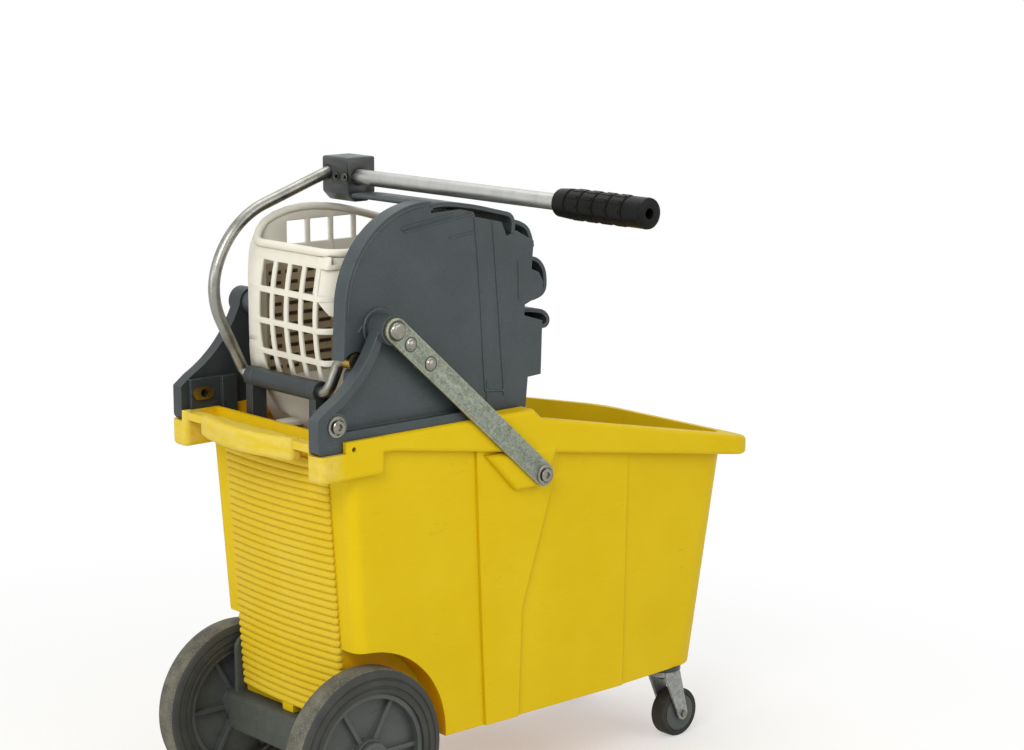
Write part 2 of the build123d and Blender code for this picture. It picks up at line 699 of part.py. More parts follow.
for name, side in SIDES.items():
    with BuildPart() as wheel_hub:
        with BuildSketch(side_plane(side, BOSS_INSIDE, BOSS_OUTSIDE)):
            with Locations((0, AXLE_Z)):
                Circle(HUB_BOSS_R)
        extrude(amount=BOSS_OUTSIDE - BOSS_INSIDE)
        with BuildSketch(side_plane(side, WHEEL_INSIDE + HUB_SETBACK, WHEEL_OUTSIDE - HUB_SETBACK)):
            with Locations((0, AXLE_Z)):
                Circle(HUB_R)
                Circle(HUB_R - HUB_RING, mode=Mode.SUBTRACT)
        extrude(amount=TYRE_WIDTH - HUB_SETBACK * 2)
        with BuildSketch(side_plane(side, WHEEL_Y - HUB_WEB / 2, WHEEL_Y + HUB_WEB / 2)):
            with Locations((0, AXLE_Z)):
                Circle(HUB_R - HUB_RING / 2)
        extrude(amount=HUB_WEB)
        with BuildSketch(side_plane(side, WHEEL_Y - SPOKE_REACH, WHEEL_Y + SPOKE_REACH)):
            with Locations((0, AXLE_Z)):
                with PolarLocations(0, SPOKE_COUNT):
                    Rectangle(HUB_R - HUB_RING / 2, SPOKE_THICK, align=(Align.MIN, Align.CENTER))
        extrude(amount=SPOKE_REACH * 2)
        with BuildSketch(side_plane(side, BOSS_INSIDE, BOSS_OUTSIDE)):
            with Locations((0, AXLE_Z)):
                Circle(AXLE_R + RUN_CLEAR)
        extrude(amount=BOSS_OUTSIDE - BOSS_INSIDE, mode=Mode.SUBTRACT)
    write(wheel_hub, f"rear_wheel_hub_{name}")
    with BuildPart() as tyre:
        with BuildSketch(side_plane(side, WHEEL_INSIDE, WHEEL_OUTSIDE)):
            with Locations((0, AXLE_Z)):
                Circle(WHEEL_DIA / 2)
                Circle(HUB_R, mode=Mode.SUBTRACT)
        extrude(amount=TYRE_WIDTH)
        fillet(tyre.edges().filter_by(GeomType.CIRCLE).group_by(SortBy.RADIUS)[-1], TYRE_EDGE)
    write(tyre, f"rear_tyre_{name}")
    with BuildPart() as hub_cap:
        with BuildSketch(side_plane(side, CAP_INSIDE, CAP_OUTSIDE)):
            with Locations((0, AXLE_Z)):
                Circle(CAP_R)
        extrude(amount=CAP_HEIGHT)
        fillet(hub_cap.faces().sort_by(Axis.Y)[-1 if side > 0 else 0].edges(), CAP_HEIGHT / 2)
        with BuildSketch(side_plane(side, CAP_INSIDE, CAP_OUTSIDE - AXLE_TUCK)):
            with Locations((0, AXLE_Z)):
                Circle(AXLE_R)
        extrude(amount=CAP_HEIGHT - AXLE_TUCK, mode=Mode.SUBTRACT)
    write(hub_cap, f"hub_cap_{name}")

# Swivel casters: a stem in the tub floor, a fork that swivels on the king pin, and a wheel on its axle
FORK_BOTTOM = FORK_TOP - FORK_PLATE_THICK
LEG_INSIDE = CASTER_WIDTH / 2 + FORK_SIDE_GAP
LEG_OUTSIDE = LEG_INSIDE + FORK_LEG_THICK
CASTER_AXLE_HALF = LEG_OUTSIDE + CASTER_AXLE_END
CASTER_WHEEL_X = CASTER_X - CASTER_TRAIL
CASTER_WHEEL_Z = CASTER_DIA / 2
for name, side in SIDES.items():
    caster_y = side * CASTER_Y
    with BuildPart() as caster_mount:
        with BuildSketch(Plane.XY.offset(TUB_BOTTOM)):
            with Locations((CASTER_X, caster_y)):
                Circle(CASTER_STEM_R - RUN_CLEAR)
        extrude(amount=CASTER_STEM - BODY_GAP)
        with BuildSketch(Plane.XY.offset(TUB_BOTTOM)):
            with Locations((CASTER_X, caster_y)):
                Circle(CASTER_PLATE_R)
        extrude(amount=-CASTER_PLATE_THICK)
        with BuildSketch(Plane.XY.offset(TUB_BOTTOM)):
            with Locations((CASTER_X, caster_y)):
                Circle(KING_PIN_R)
        extrude(amount=FORK_BOTTOM - BODY_GAP - KING_HEAD_THICK - TUB_BOTTOM)
        with BuildSketch(Plane.XY.offset(FORK_BOTTOM - BODY_GAP)):
            with Locations((CASTER_X, caster_y)):
                Circle(KING_HEAD_R)
        extrude(amount=-KING_HEAD_THICK)
    write(caster_mount, f"caster_mount_{name}")
    with BuildPart() as caster_fork:
        with BuildSketch(Plane.XY.offset(FORK_BOTTOM)):
            with Locations((CASTER_X, caster_y)):
                Circle(FORK_PLATE_R)
        extrude(amount=FORK_PLATE_THICK)
        for leg in SIDES.values():
            with BuildSketch(side_plane(1, caster_y + leg * LEG_INSIDE, caster_y + leg * LEG_OUTSIDE)):
                with Locations((CASTER_WHEEL_X, CASTER_WHEEL_Z)):
                    Circle(CASTER_AXLE_R + FORK_LEG_THICK)
                with Locations((CASTER_X, FORK_BOTTOM + FORK_PLATE_THICK / 2)):
                    Rectangle(FORK_LEG_WIDTH, FORK_PLATE_THICK)
                make_hull()
            extrude(amount=FORK_LEG_THICK)
        with BuildSketch(Plane.XY.offset(FORK_BOTTOM)):
            with Locations((CASTER_X, caster_y)):
                Circle(KING_PIN_R + RUN_CLEAR)
        extrude(amount=FORK_PLATE_THICK, mode=Mode.SUBTRACT)
        with BuildSketch(side_plane(1, caster_y - LEG_OUTSIDE, caster_y + LEG_OUTSIDE)):
            with Locations((CASTER_WHEEL_X, CASTER_WHEEL_Z)):
                Circle(CASTER_AXLE_R + RUN_CLEAR)
        extrude(amount=LEG_OUTSIDE * 2, mode=Mode.SUBTRACT)
    write(caster_fork, f"caster_fork_{name}")
    with BuildPart() as caster_axle:
        with BuildSketch(side_plane(1, caster_y - CASTER_AXLE_HALF, caster_y + CASTER_AXLE_HALF)):
            with Locations((CASTER_WHEEL_X, CASTER_WHEEL_Z)):
                Circle(CASTER_AXLE_R)
        extrude(amount=CASTER_AXLE_HALF * 2)
    write(caster_axle, f"caster_axle_{name}")
    with BuildPart() as caster_wheel:
        with BuildSketch(side_plane(1, caster_y - CASTER_WIDTH / 2, caster_y + CASTER_WIDTH / 2)):
            with Locations((CASTER_WHEEL_X, CASTER_WHEEL_Z)):
                Circle(CASTER_WHEEL_Z - CASTER_TYRE)
                Circle(CASTER_AXLE_R + RUN_CLEAR, mode=Mode.SUBTRACT)
        extrude(amount=CASTER_WIDTH)
    write(caster_wheel, f"caster_wheel_{name}")
    with BuildPart() as caster_tyre:
        with BuildSketch(side_plane(1, caster_y - CASTER_WIDTH / 2, caster_y + CASTER_WIDTH / 2)):
            with Locations((CASTER_WHEEL_X, CASTER_WHEEL_Z)):
                Circle(CASTER_WHEEL_Z)
                Circle(CASTER_WHEEL_Z - CASTER_TYRE, mode=Mode.SUBTRACT)
        extrude(amount=CASTER_WIDTH)
        fillet(caster_tyre.edges().filter_by(GeomType.CIRCLE).group_by(SortBy.RADIUS)[-1], CASTER_TYRE / 2)
    write(caster_tyre, f"caster_tyre_{name}")


def bracket_sketch(side, inner, outer, inset):
    """Outline of a side bracket on an upright plane, moved inwards by inset."""
    with BuildSketch(side_plane(side, inner, outer)) as outline:
        with BuildLine():
            front = Line((PIVOT_X + APEX_R, PIVOT_Z), (BRACKET_FRONT_X, RIM_TOP))
            sill = Polyline(
                front @ 1,
                (FOOT_FRONT_X, RIM_TOP),
                (FOOT_FRONT_X, FOOT_BOTTOM),
                (BRACKET_REAR_X, FOOT_BOTTOM),
                (BRACKET_REAR_X, FRAME_BOLT_Z + FRAME_BOLT_HEAD_R),
                (BRACKET_KNEE_X, BRACKET_KNEE_Z),
            )
            slope = ThreePointArc(
                sill @ 1,
                (BRACKET_WAIST_X, BRACKET_WAIST_Z),
                (PIVOT_X - APEX_R, PIVOT_Z),
            )
            Line(slope @ 1, front @ 0)
        make_face()
        with Locations((PIVOT_X, PIVOT_Z)):
            Circle(APEX_R)
        if inset:
            offset(amount=-inset, kind=Kind.INTERSECTION, mode=Mode.REPLACE)
    return outline.sketch


# Side brackets: dished plates on the rim that carry the drum pivots, with feet in the corner blocks
RIVET_SPOTS = [(PIVOT_X + run * STRAP_DIR_X, PIVOT_Z + run * STRAP_DIR_Z) for run in STRAP_RIVET_RUN]
STRAP_ANGLE = degrees(atan2(STRAP_DIR_Z, STRAP_DIR_X))
for name, side in SIDES.items():
    with BuildPart() as side_bracket:
        extrude(bracket_sketch(side, BRACKET_INSIDE, BRACKET_OUTSIDE, 0), amount=BRACKET_DEPTH, dir=(0, -1, 0))
        extrude(
            bracket_sketch(side, BRACKET_INSIDE + BRACKET_WEB, BRACKET_OUTSIDE, BRACKET_FLANGE),
            amount=BRACKET_DEPTH - BRACKET_WEB,
            dir=(0, -1, 0),
            mode=Mode.SUBTRACT,
        )
        with BuildSketch(side_plane(side, BRACKET_INSIDE, BRACKET_OUTSIDE)):
            with Locations((FRAME_BOLT_X, FRAME_BOLT_Z)):
                Circle(FRAME_BOLT_HEAD_R + BRACKET_FLANGE / 2)
            with Locations((FOOT_FRONT_X, FRAME_BOLT_Z)):
                Rectangle(FOOT_FRONT_X - BRACKET_REAR_X, FRAME_BOLT_HEAD_R * 2, align=(Align.MAX, Align.CENTER))
        extrude(amount=BRACKET_DEPTH)
        foot_corners = side_bracket.edges().filter_by(Axis.Y).group_by(Axis.X)[0]
        fillet(foot_corners.sort_by(Axis.Z)[0], FOOT_CORNER_R)
        with BuildSketch(side_plane(side, BRACKET_INSIDE, STRAP_INSIDE)):
            with Locations((PIVOT_X, PIVOT_Z)):
                Circle(APEX_R)
            with Locations(*RIVET_SPOTS):
                Circle(RIVET_BOSS_R)
        extrude(amount=STRAP_INSIDE - BRACKET_INSIDE)
        with BuildSketch(side_plane(side, BRACKET_INSIDE, STRAP_INSIDE)):
            with Locations((PIVOT_X, PIVOT_Z)):
                Circle(PIVOT_PIN_R + RUN_CLEAR)
            with Locations(*RIVET_SPOTS):
                Circle(RIVET_R + RUN_CLEAR)
            with Locations((FRAME_BOLT_X, FRAME_BOLT_Z)):
                Circle(FRAME_BOLT_R + RUN_CLEAR)
        extrude(amount=STRAP_INSIDE - BRACKET_INSIDE, mode=Mode.SUBTRACT)
    write(side_bracket, f"side_bracket_{name}")
    with BuildPart() as brace_strap:
        with BuildSketch(side_plane(side, STRAP_INSIDE, STRAP_OUTSIDE)):
            with Locations(((PIVOT_X + STRAP_END_X) / 2, (PIVOT_Z + STRAP_END_Z) / 2)):
                SlotCenterToCenter(STRAP_LENGTH, STRAP_WIDTH, rotation=STRAP_ANGLE)
            with Locations((PIVOT_X, PIVOT_Z)):
                Circle(PIVOT_PIN_R + RUN_CLEAR, mode=Mode.SUBTRACT)
            with Locations(*RIVET_SPOTS):
                Circle(RIVET_R + RUN_CLEAR, mode=Mode.SUBTRACT)
            with Locations((STRAP_END_X, STRAP_END_Z)):
                Circle(STRAP_BOLT_R + RUN_CLEAR, mode=Mode.SUBTRACT)
        extrude(amount=STRAP_THICK)
    write(brace_strap, f"brace_strap_{name}")
    drum_face = DRUM_INSIDE if side < 0 else FAR_PLATE_INSIDE
    with BuildPart() as pivot_pin:
        pin_length = STRAP_OUTSIDE - drum_face
        add(domed_pin(side, STRAP_OUTSIDE, PIVOT_X, PIVOT_Z, PIVOT_PIN_R, pin_length, PIVOT_HEAD_R, PIVOT_HEAD))
    write(pivot_pin, f"pivot_pin_{name}")

with BuildPart() as strap_rivets:
    for side in SIDES.values():
        for spot_x, spot_z in RIVET_SPOTS:
            rivet_length = STRAP_OUTSIDE - BRACKET_INSIDE
            add(domed_pin(side, STRAP_OUTSIDE, spot_x, spot_z, RIVET_R, rivet_length, RIVET_HEAD_R, RIVET_HEAD))
write(strap_rivets, "strap_rivets")

with BuildPart() as strap_bolts:
    for side in SIDES.values():
        add(
            domed_pin(
                side,
                STRAP_OUTSIDE,
                STRAP_END_X,
                STRAP_END_Z,
                STRAP_BOLT_R - RUN_CLEAR,
                STRAP_OUTSIDE - HALF_BOTTOM - BODY_GAP,
                STRAP_BOLT_HEAD_R,
                STRAP_BOLT_HEAD,
            )
        )
write(strap_bolts, "strap_bolts")

with BuildPart() as frame_bolts:
    for side in SIDES.values():
        add(
            domed_pin(
                side,
                BRACKET_OUTSIDE,
                FRAME_BOLT_X,
                FRAME_BOLT_Z,
                FRAME_BOLT_R,
                BRACKET_OUTSIDE - END_PLATE_INSIDE + NUT_PLATE_THICK,
                FRAME_BOLT_HEAD_R,
                FRAME_BOLT_HEAD,
            )
        )
write(frame_bolts, "frame_bolts")

with BuildPart() as nut_plates:
    for side in SIDES.values():
        with BuildSketch(side_plane(side, END_PLATE_INSIDE - NUT_PLATE_THICK, END_PLATE_INSIDE)):
            with Locations((FRAME_BOLT_X, FRAME_BOLT_Z)):
                SlotOverall(NUT_PLATE_LENGTH, NUT_PLATE_WIDTH)
                Circle(FRAME_BOLT_R + RUN_CLEAR, mode=Mode.SUBTRACT)
        extrude(amount=NUT_PLATE_THICK)
write(nut_plates, "nut_plates")

# Cross member inside the rear rim: ends bolted to the brackets, two ears and the bearing sleeve
MEMBER_FRONT_X = MEMBER_REAR_X + MEMBER_DEPTH
LEG_OUTER = LEDGE_INSIDE - LEG_CLEAR
with BuildPart() as cross_member:
    with BuildSketch(Plane.XZ):
        with Locations((MEMBER_REAR_X, MEMBER_TOP)):
            Rectangle(MEMBER_DEPTH, MEMBER_HEIGHT, align=(Align.MIN, Align.MAX))
    extrude(amount=LEG_OUTER, both=True)
    with BuildSketch(Plane.XZ):
        with Locations((LEVER_X, LEVER_Z)):
            Circle(SLEEVE_R)
    extrude(amount=EAR_HALF_SPAN, both=True)
    for side in SIDES.values():
        with BuildSketch(side_plane(side, EAR_HALF_SPAN - EAR_THICK, EAR_HALF_SPAN)):
            with Locations((LEVER_X, LEVER_Z)):
                Circle(EAR_R)
            with Locations((MEMBER_REAR_X, MEMBER_TOP)):
                Rectangle(LEVER_X + EAR_R - MEMBER_REAR_X, LEVER_Z - MEMBER_TOP, align=Align.MIN)
        extrude(amount=EAR_THICK)
        with BuildSketch(side_plane(side, LEG_OUTER - LEG_THICK, LEG_OUTER)):
            with Locations((MEMBER_REAR_X, END_PLATE_TOP)):
                Rectangle(
                    MEMBER_DEPTH,
                    END_PLATE_TOP - MEMBER_TOP + MEMBER_HEIGHT,
                    align=(Align.MIN, Align.MAX),
                )
        extrude(amount=LEG_THICK)
        with BuildSketch(side_plane(side, END_PLATE_INSIDE, BRACKET_INSIDE)):
            with Locations((END_PLATE_REAR_X, RIM_TOP)):
                Rectangle(MEMBER_FRONT_X - END_PLATE_REAR_X, END_PLATE_TOP - RIM_TOP, align=Align.MIN)
            with Locations((FRAME_BOLT_X, FRAME_BOLT_Z)):
                Circle(FRAME_BOLT_R + RUN_CLEAR, mode=Mode.SUBTRACT)
        extrude(amount=END_PLATE_THICK)
        with BuildSketch(Plane.XY.offset(MEMBER_TOP)):
            with Locations((MEMBER_REAR_X + MEMBER_DEPTH / 2, side * LUG_Y)):
                Circle(LUG_SCREW_R + RUN_CLEAR)
        extrude(amount=-LUG_SCREW_DEPTH, mode=Mode.SUBTRACT)
    with BuildSketch(Plane.XZ):
        with Locations((LEVER_X, LEVER_Z)):
            Circle(ROD_R + RUN_CLEAR)
    extrude(amount=EAR_HALF_SPAN, both=True, mode=Mode.SUBTRACT)
write(cross_member, "cross_member")

# Wringer basket: a curved rear wall and floor between two side walls, with drain windows
FLOOR_START_X = PIVOT_X + BASKET_FLOOR_R * cos(radians(BASKET_FLOOR_START))
FLOOR_START_Z = PIVOT_Z + BASKET_FLOOR_R * sin(radians(BASKET_FLOOR_START))
FLOOR_END_X = PIVOT_X + BASKET_FLOOR_R * cos(radians(BASKET_FLOOR_END))
FLOOR_END_Z = PIVOT_Z + BASKET_FLOOR_R * sin(radians(BASKET_FLOOR_END))
SLOPE_RUN = (FLOOR_START_X - BASKET_KNEE_X) / (BASKET_KNEE_Z - FLOOR_START_Z)
LUG_END_X = BASKET_KNEE_X + SLOPE_RUN * (BASKET_KNEE_Z - MEMBER_TOP) + BASKET_WALL / 2
BASKET_SPAN = BASKET_FAR_Y - BASKET_NEAR_Y
BASKET_MID_Y = (BASKET_FAR_Y + BASKET_NEAR_Y) / 2
FLOOR_SWEEP = BASKET_FLOOR_END - BASKET_FLOOR_START
def basket_block(inset):
    """Solid block with the basket's curved rear wall and floor, moved inwards by inset."""
    near_face = BASKET_NEAR_Y + inset
    far_face = BASKET_FAR_Y - inset
    with BuildPart() as block:
        with BuildSketch(Plane.XZ.offset(-far_face)):
            with BuildLine():
                wall = ThreePointArc(
                    (BASKET_TOP_X + inset, BASKET_TOP_Z),
                    (BASKET_BULGE_X + inset, BASKET_BULGE_Z),
                    (BASKET_KNEE_X + inset, BASKET_KNEE_Z),
                )
                floor = CenterArc((PIVOT_X, PIVOT_Z), BASKET_FLOOR_R - inset, BASKET_FLOOR_START, FLOOR_SWEEP)
                Line(wall @ 1, floor @ 0)
                rise = Line(wall @ 0, wall @ 0 - (wall % 0) * BASKET_RISE)
                Polyline(
                    floor @ 1,
                    (FAR_WALL_FRONT_X * 2, FLOOR_END_Z),
                    (FAR_WALL_FRONT_X * 2, BASKET_TOP_Z + BASKET_RISE),
                    rise @ 1,
                )
            make_face()
        extrude(amount=far_face - near_face)
        with BuildSketch(Plane.XY.offset(PIVOT_Z - BASKET_FLOOR_R * 2)) as plan:
            with Locations((BASKET_BULGE_X - BASKET_WALL / 2 + inset, near_face)):
                Rectangle(FAR_WALL_FRONT_X * 2, far_face - near_face, align=Align.MIN)
            rear_corners = plan.vertices().group_by(Axis.X)[0].sort_by(Axis.Y)
            fillet(rear_corners[0], BASKET_NEAR_R - inset)
            fillet(plan.vertices().group_by(Axis.X)[0].sort_by(Axis.Y)[-1], BASKET_FAR_R - inset)
        extrude(amount=BASKET_FLOOR_R * 4, mode=Mode.INTERSECT)
    return block.part


with BuildPart() as wringer_basket:
    add(basket_block(0))
    add(basket_block(BASKET_WALL), mode=Mode.SUBTRACT)
    with BuildSketch(Plane.XZ.offset(-BASKET_FAR_Y)):
        with BuildLine():
            rim = Spline(
                (FAR_WALL_FRONT_X, FAR_WALL_FRONT_Z),
                (FAR_RIM_X, FAR_RIM_Z),
                *[(place, FAR_RIM_Z - fall) for place, fall in FAR_RIM_LOW],
                (BASKET_TOP_X, BASKET_TOP_Z),
            )
            Polyline(
                rim @ 1,
                (REAR_X, BASKET_TOP_Z),
                (REAR_X, PIVOT_Z - BASKET_FLOOR_R * 2),
                (FLOOR_END_X, PIVOT_Z - BASKET_FLOOR_R * 2),
                (FLOOR_END_X, FLOOR_END_Z),
                rim @ 0,
            )
        make_face()
    extrude(amount=BASKET_SPAN, mode=Mode.INTERSECT)
    with BuildSketch(Plane.XZ.offset(-BASKET_MID_Y)):
        with BuildLine():
            Polyline(
                (BASKET_TOP_X + BASKET_WALL, NEAR_RIM_Z),
                (FAR_RIM_X, NEAR_RIM_Z),
                (FAR_WALL_FRONT_X, NEAR_WALL_FRONT_Z),
                (FAR_WALL_FRONT_X, FAR_RIM_Z * 2),
                (BASKET_TOP_X + BASKET_WALL, FAR_RIM_Z * 2),
                close=True,
            )
        make_face()
    extrude(amount=BASKET_SPAN, mode=Mode.SUBTRACT)
    for side in SIDES.values():
        with BuildSketch(Plane.XY.offset(MEMBER_TOP)):
            with Locations((MEMBER_REAR_X + LEG_CLEAR, side * LUG_Y)):
                Rectangle(
                    LUG_END_X - MEMBER_REAR_X - LEG_CLEAR,
                    LUG_WIDTH,
                    align=(Align.MIN, Align.CENTER),
                )
            with Locations((MEMBER_REAR_X + MEMBER_DEPTH / 2, side * LUG_Y)):
                Circle(LUG_SCREW_R + RUN_CLEAR, mode=Mode.SUBTRACT)
        extrude(amount=LUG_THICK)
    window_rows_mid = (WINDOW_TOP + WINDOW_FOOT) / 2
    with BuildSketch(Plane.YZ.offset(REAR_X)):
        with Locations((WINDOW_MID_Y, window_rows_mid)):
            with GridLocations(
                WINDOW_WIDTH + WINDOW_BAR,
                WINDOW_HEIGHT + WINDOW_BAR,
                WINDOW_COLUMNS,
                WINDOW_ROWS,
            ):
                Rectangle(WINDOW_WIDTH, WINDOW_HEIGHT)
    extrude(amount=LUG_END_X - REAR_X, mode=Mode.SUBTRACT)
    far_window_mid = FAR_WINDOW_X + FAR_WINDOW / 2 + (FAR_WINDOW_COUNT - 1) * (FAR_WINDOW + WINDOW_BAR) / 2
    with BuildSketch(Plane.XZ.offset(-BASKET_FAR_Y)):
        with Locations((far_window_mid, FAR_RIM_Z - FAR_WINDOW_FALL)):
            with GridLocations(FAR_WINDOW + WINDOW_BAR, 0, FAR_WINDOW_COUNT, 1):
                Rectangle(FAR_WINDOW, FAR_WINDOW)
    extrude(amount=BASKET_WALL, mode=Mode.SUBTRACT)
write(wringer_basket, "wringer_basket")

with BuildPart() as basket_screws:
    for side in SIDES.values():
        with BuildSketch(Plane.XY.offset(MEMBER_TOP + LUG_THICK)):
            with Locations((MEMBER_REAR_X + MEMBER_DEPTH / 2, side * LUG_Y)):
                Circle(LUG_SCREW_HEAD_R)
        extrude(amount=LUG_SCREW_HEAD)
        with BuildSketch(Plane.XY.offset(MEMBER_TOP + LUG_THICK)):
            with Locations((MEMBER_REAR_X + MEMBER_DEPTH / 2, side * LUG_Y)):
                Circle(LUG_SCREW_R)
        extrude(amount=BODY_GAP - LUG_SCREW_DEPTH - LUG_THICK)
write(basket_screws, "basket_screws")


def crank_path(steps):
    """Places of the crank pin seen from the drum plate while the lever goes through its range."""
    spots = []
    for step in range(steps + 1):
        lever_angle = LEVER_RANGE * step / steps
        pin_angle = radians(CRANK_ANGLE + lever_angle)
        pin_x = LEVER_X + CRANK_REACH * cos(pin_angle) - PIVOT_X
        pin_z = LEVER_Z + CRANK_REACH * sin(pin_angle) - PIVOT_Z
        turn = radians(lever_angle * DRUM_RATIO)
        spot_x = PIVOT_X + pin_x * cos(turn) - pin_z * sin(turn)
        spot_z = PIVOT_Z + pin_x * sin(turn) + pin_z * cos(turn)
        spots.append((spot_x, spot_z))
    return spots


# Near plate of the press drum, with an open notch for the crank of the lever
DRUM_HUB_END = BRACKET_INSIDE - BODY_GAP
NOTCH_R = CRANK_BUSH_R + CRANK_SLOT_CLEAR
with BuildPart() as drum_plate_near:
    with BuildSketch(side_plane(-1, DRUM_INSIDE, DRUM_OUTSIDE)):
        with BuildLine():
            crown = CenterArc(
                (DRUM_ARC_X, DRUM_ARC_Z),
                DRUM_ARC_R,
                DRUM_ARC_END,
                DRUM_ARC_START - DRUM_ARC_END,
            )
            Polyline(
                crown @ 0,
                *DRUM_EDGE,
                (DRUM_FOOT_X, DRUM_FOOT_Z),
                (DRUM_HEEL_X, DRUM_FOOT_Z),
                (DRUM_WAIST_X, DRUM_WAIST_Z),
                (DRUM_SHIN_X, DRUM_SHIN_Z),
                (DRUM_REAR_X, DRUM_REAR_Z),
                crown @ 1,
            )
        make_face()
    extrude(amount=DRUM_DEPTH)
    with BuildSketch(side_plane(-1, DRUM_INSIDE, DRUM_OUTSIDE - DRUM_WEB)):
        with Locations((DRUM_ARC_X, DRUM_ARC_Z)):
            Circle(DRUM_ARC_R - DRUM_FLANGE)
        with Locations((DRUM_POCKET_X, DRUM_POCKET_Z)):
            Rectangle(DRUM_POCKET_WIDTH, DRUM_POCKET_HEIGHT, align=Align.MIN)
        with BuildSketch(mode=Mode.SUBTRACT):
            with Locations((DRUM_SHIN_X, DRUM_SHIN_Z), (PIVOT_X, PIVOT_Z), crown @ 1):
                Circle(DRUM_HUB_R)
            make_hull()
    extrude(amount=DRUM_DEPTH - DRUM_WEB, mode=Mode.SUBTRACT)
    with BuildSketch(side_plane(-1, DRUM_INSIDE, DRUM_HUB_END)):
        with Locations((PIVOT_X, PIVOT_Z)):
            Circle(DRUM_HUB_R)
    extrude(amount=DRUM_HUB_END - DRUM_INSIDE)
    with BuildSketch(side_plane(-1, DRUM_INSIDE, DRUM_HUB_END)):
        with Locations((PIVOT_X, PIVOT_Z)):
            Circle(PIVOT_PIN_R + RUN_CLEAR)
        with Locations(*crank_path(NOTCH_STEPS)):
            Circle(NOTCH_R)
    extrude(amount=DRUM_HUB_END - DRUM_INSIDE, mode=Mode.SUBTRACT)
write(drum_plate_near, "drum_plate_near")

# Far plate of the press drum: a tapered arm from the pivot to the slats
with BuildPart() as drum_plate_far:
    with BuildSketch(side_plane(1, FAR_PLATE_INSIDE, FAR_PLATE_OUTSIDE)):
        with Locations((PIVOT_X, PIVOT_Z)):
            Circle(FAR_HUB_R)
        with Locations(*FAR_ARM):
            Circle(FAR_ARM_R)
        make_hull()
    extrude(amount=FAR_PLATE_DEPTH)
    with BuildSketch(side_plane(1, FAR_PLATE_INSIDE, DRUM_HUB_END)):
        with Locations((PIVOT_X, PIVOT_Z)):
            Circle(FAR_HUB_R)
    extrude(amount=DRUM_HUB_END - FAR_PLATE_INSIDE)
    with BuildSketch(side_plane(1, FAR_PLATE_INSIDE, DRUM_HUB_END)):
        with Locations((PIVOT_X, PIVOT_Z)):
            Circle(PIVOT_PIN_R + RUN_CLEAR)
    extrude(amount=DRUM_HUB_END - FAR_PLATE_INSIDE, mode=Mode.SUBTRACT)
write(drum_plate_far, "drum_plate_far")


def slat(points, closed, near_y, far_y):
    """Thin bent slat across the drum, between two distances from its middle."""
    with BuildPart() as strip:
        with BuildSketch(Plane.XZ.offset(-far_y)):
            with BuildLine() as course:
                Polyline(*points, close=closed)
            if closed:
                make_face()
                offset(amount=-SLAT_THICK, kind=Kind.INTERSECTION, mode=Mode.SUBTRACT)
            else:
                trace(line_width=SLAT_THICK)
        extrude(amount=far_y + near_y)
    return strip.part


for name, points, closed, near_y, far_y in (
    ("top_slat", TOP_SLAT, False, DRUM_OUTSIDE, TOP_SLAT_FAR_Y),
    ("lip_slat", LIP_SLAT, False, DRUM_INSIDE, FAR_PLATE_INSIDE),
    ("nose_slat", NOSE_SLAT, True, DRUM_INSIDE, FAR_PLATE_INSIDE),
    ("finger_slat", FINGER_SLAT, False, DRUM_INSIDE, FAR_PLATE_INSIDE),
):
    with BuildPart() as drum_slat:
        add(slat(points, closed, near_y, far_y))
    write(drum_slat, name)

# Press plate that sweeps the basket, carried by two webs from the nose slat
PRESS_FOOT_X = PIVOT_X + PRESS_R * cos(radians(PRESS_ANGLE))
PRESS_FOOT_Z = PIVOT_Z + PRESS_R * sin(radians(PRESS_ANGLE))
PRESS_LEAN = (PRESS_FOOT_X - PRESS_TOP_X) / (PRESS_TOP_Z - PRESS_FOOT_Z)
PRESS_NEAR_Y = BASKET_NEAR_Y + BASKET_WALL + PRESS_SIDE_GAP
PRESS_FAR_Y = BASKET_FAR_Y - BASKET_WALL - PRESS_SIDE_GAP
NOSE_TOP_X, NOSE_TOP_Z = NOSE_SLAT[0]
NOSE_FOOT_X, NOSE_FOOT_Z = NOSE_SLAT[-1]
with BuildPart() as press_plate:
    with BuildSketch(Plane.XZ.offset(-PRESS_FAR_Y)):
        with BuildLine():
            Polyline(
                (PRESS_TOP_X, PRESS_TOP_Z),
                (PRESS_TOP_X + PRESS_THICK, PRESS_TOP_Z),
                (PRESS_FOOT_X + PRESS_THICK, PRESS_FOOT_Z),
                (PRESS_FOOT_X, PRESS_FOOT_Z),
                close=True,
            )
        make_face()
    extrude(amount=PRESS_FAR_Y - PRESS_NEAR_Y)
    web_top_x = PRESS_TOP_X + PRESS_LEAN * (PRESS_TOP_Z - PRESS_WEB_TOP_Z) + PRESS_THICK / 2
    web_foot_x = PRESS_TOP_X + PRESS_LEAN * (PRESS_TOP_Z - PRESS_WEB_FOOT_Z) + PRESS_THICK / 2
    for web_y in PRESS_WEB_Y:
        with BuildSketch(Plane.XZ.offset(-web_y - PRESS_WEB / 2)):
            with BuildLine():
                Polyline(
                    (web_top_x, PRESS_WEB_TOP_Z),
                    (web_foot_x, PRESS_WEB_FOOT_Z),
                    (NOSE_FOOT_X, NOSE_FOOT_Z),
                    (NOSE_TOP_X, NOSE_TOP_Z),
                    close=True,
                )
            make_face()
        extrude(amount=PRESS_WEB)
write(press_plate, "press_plate")

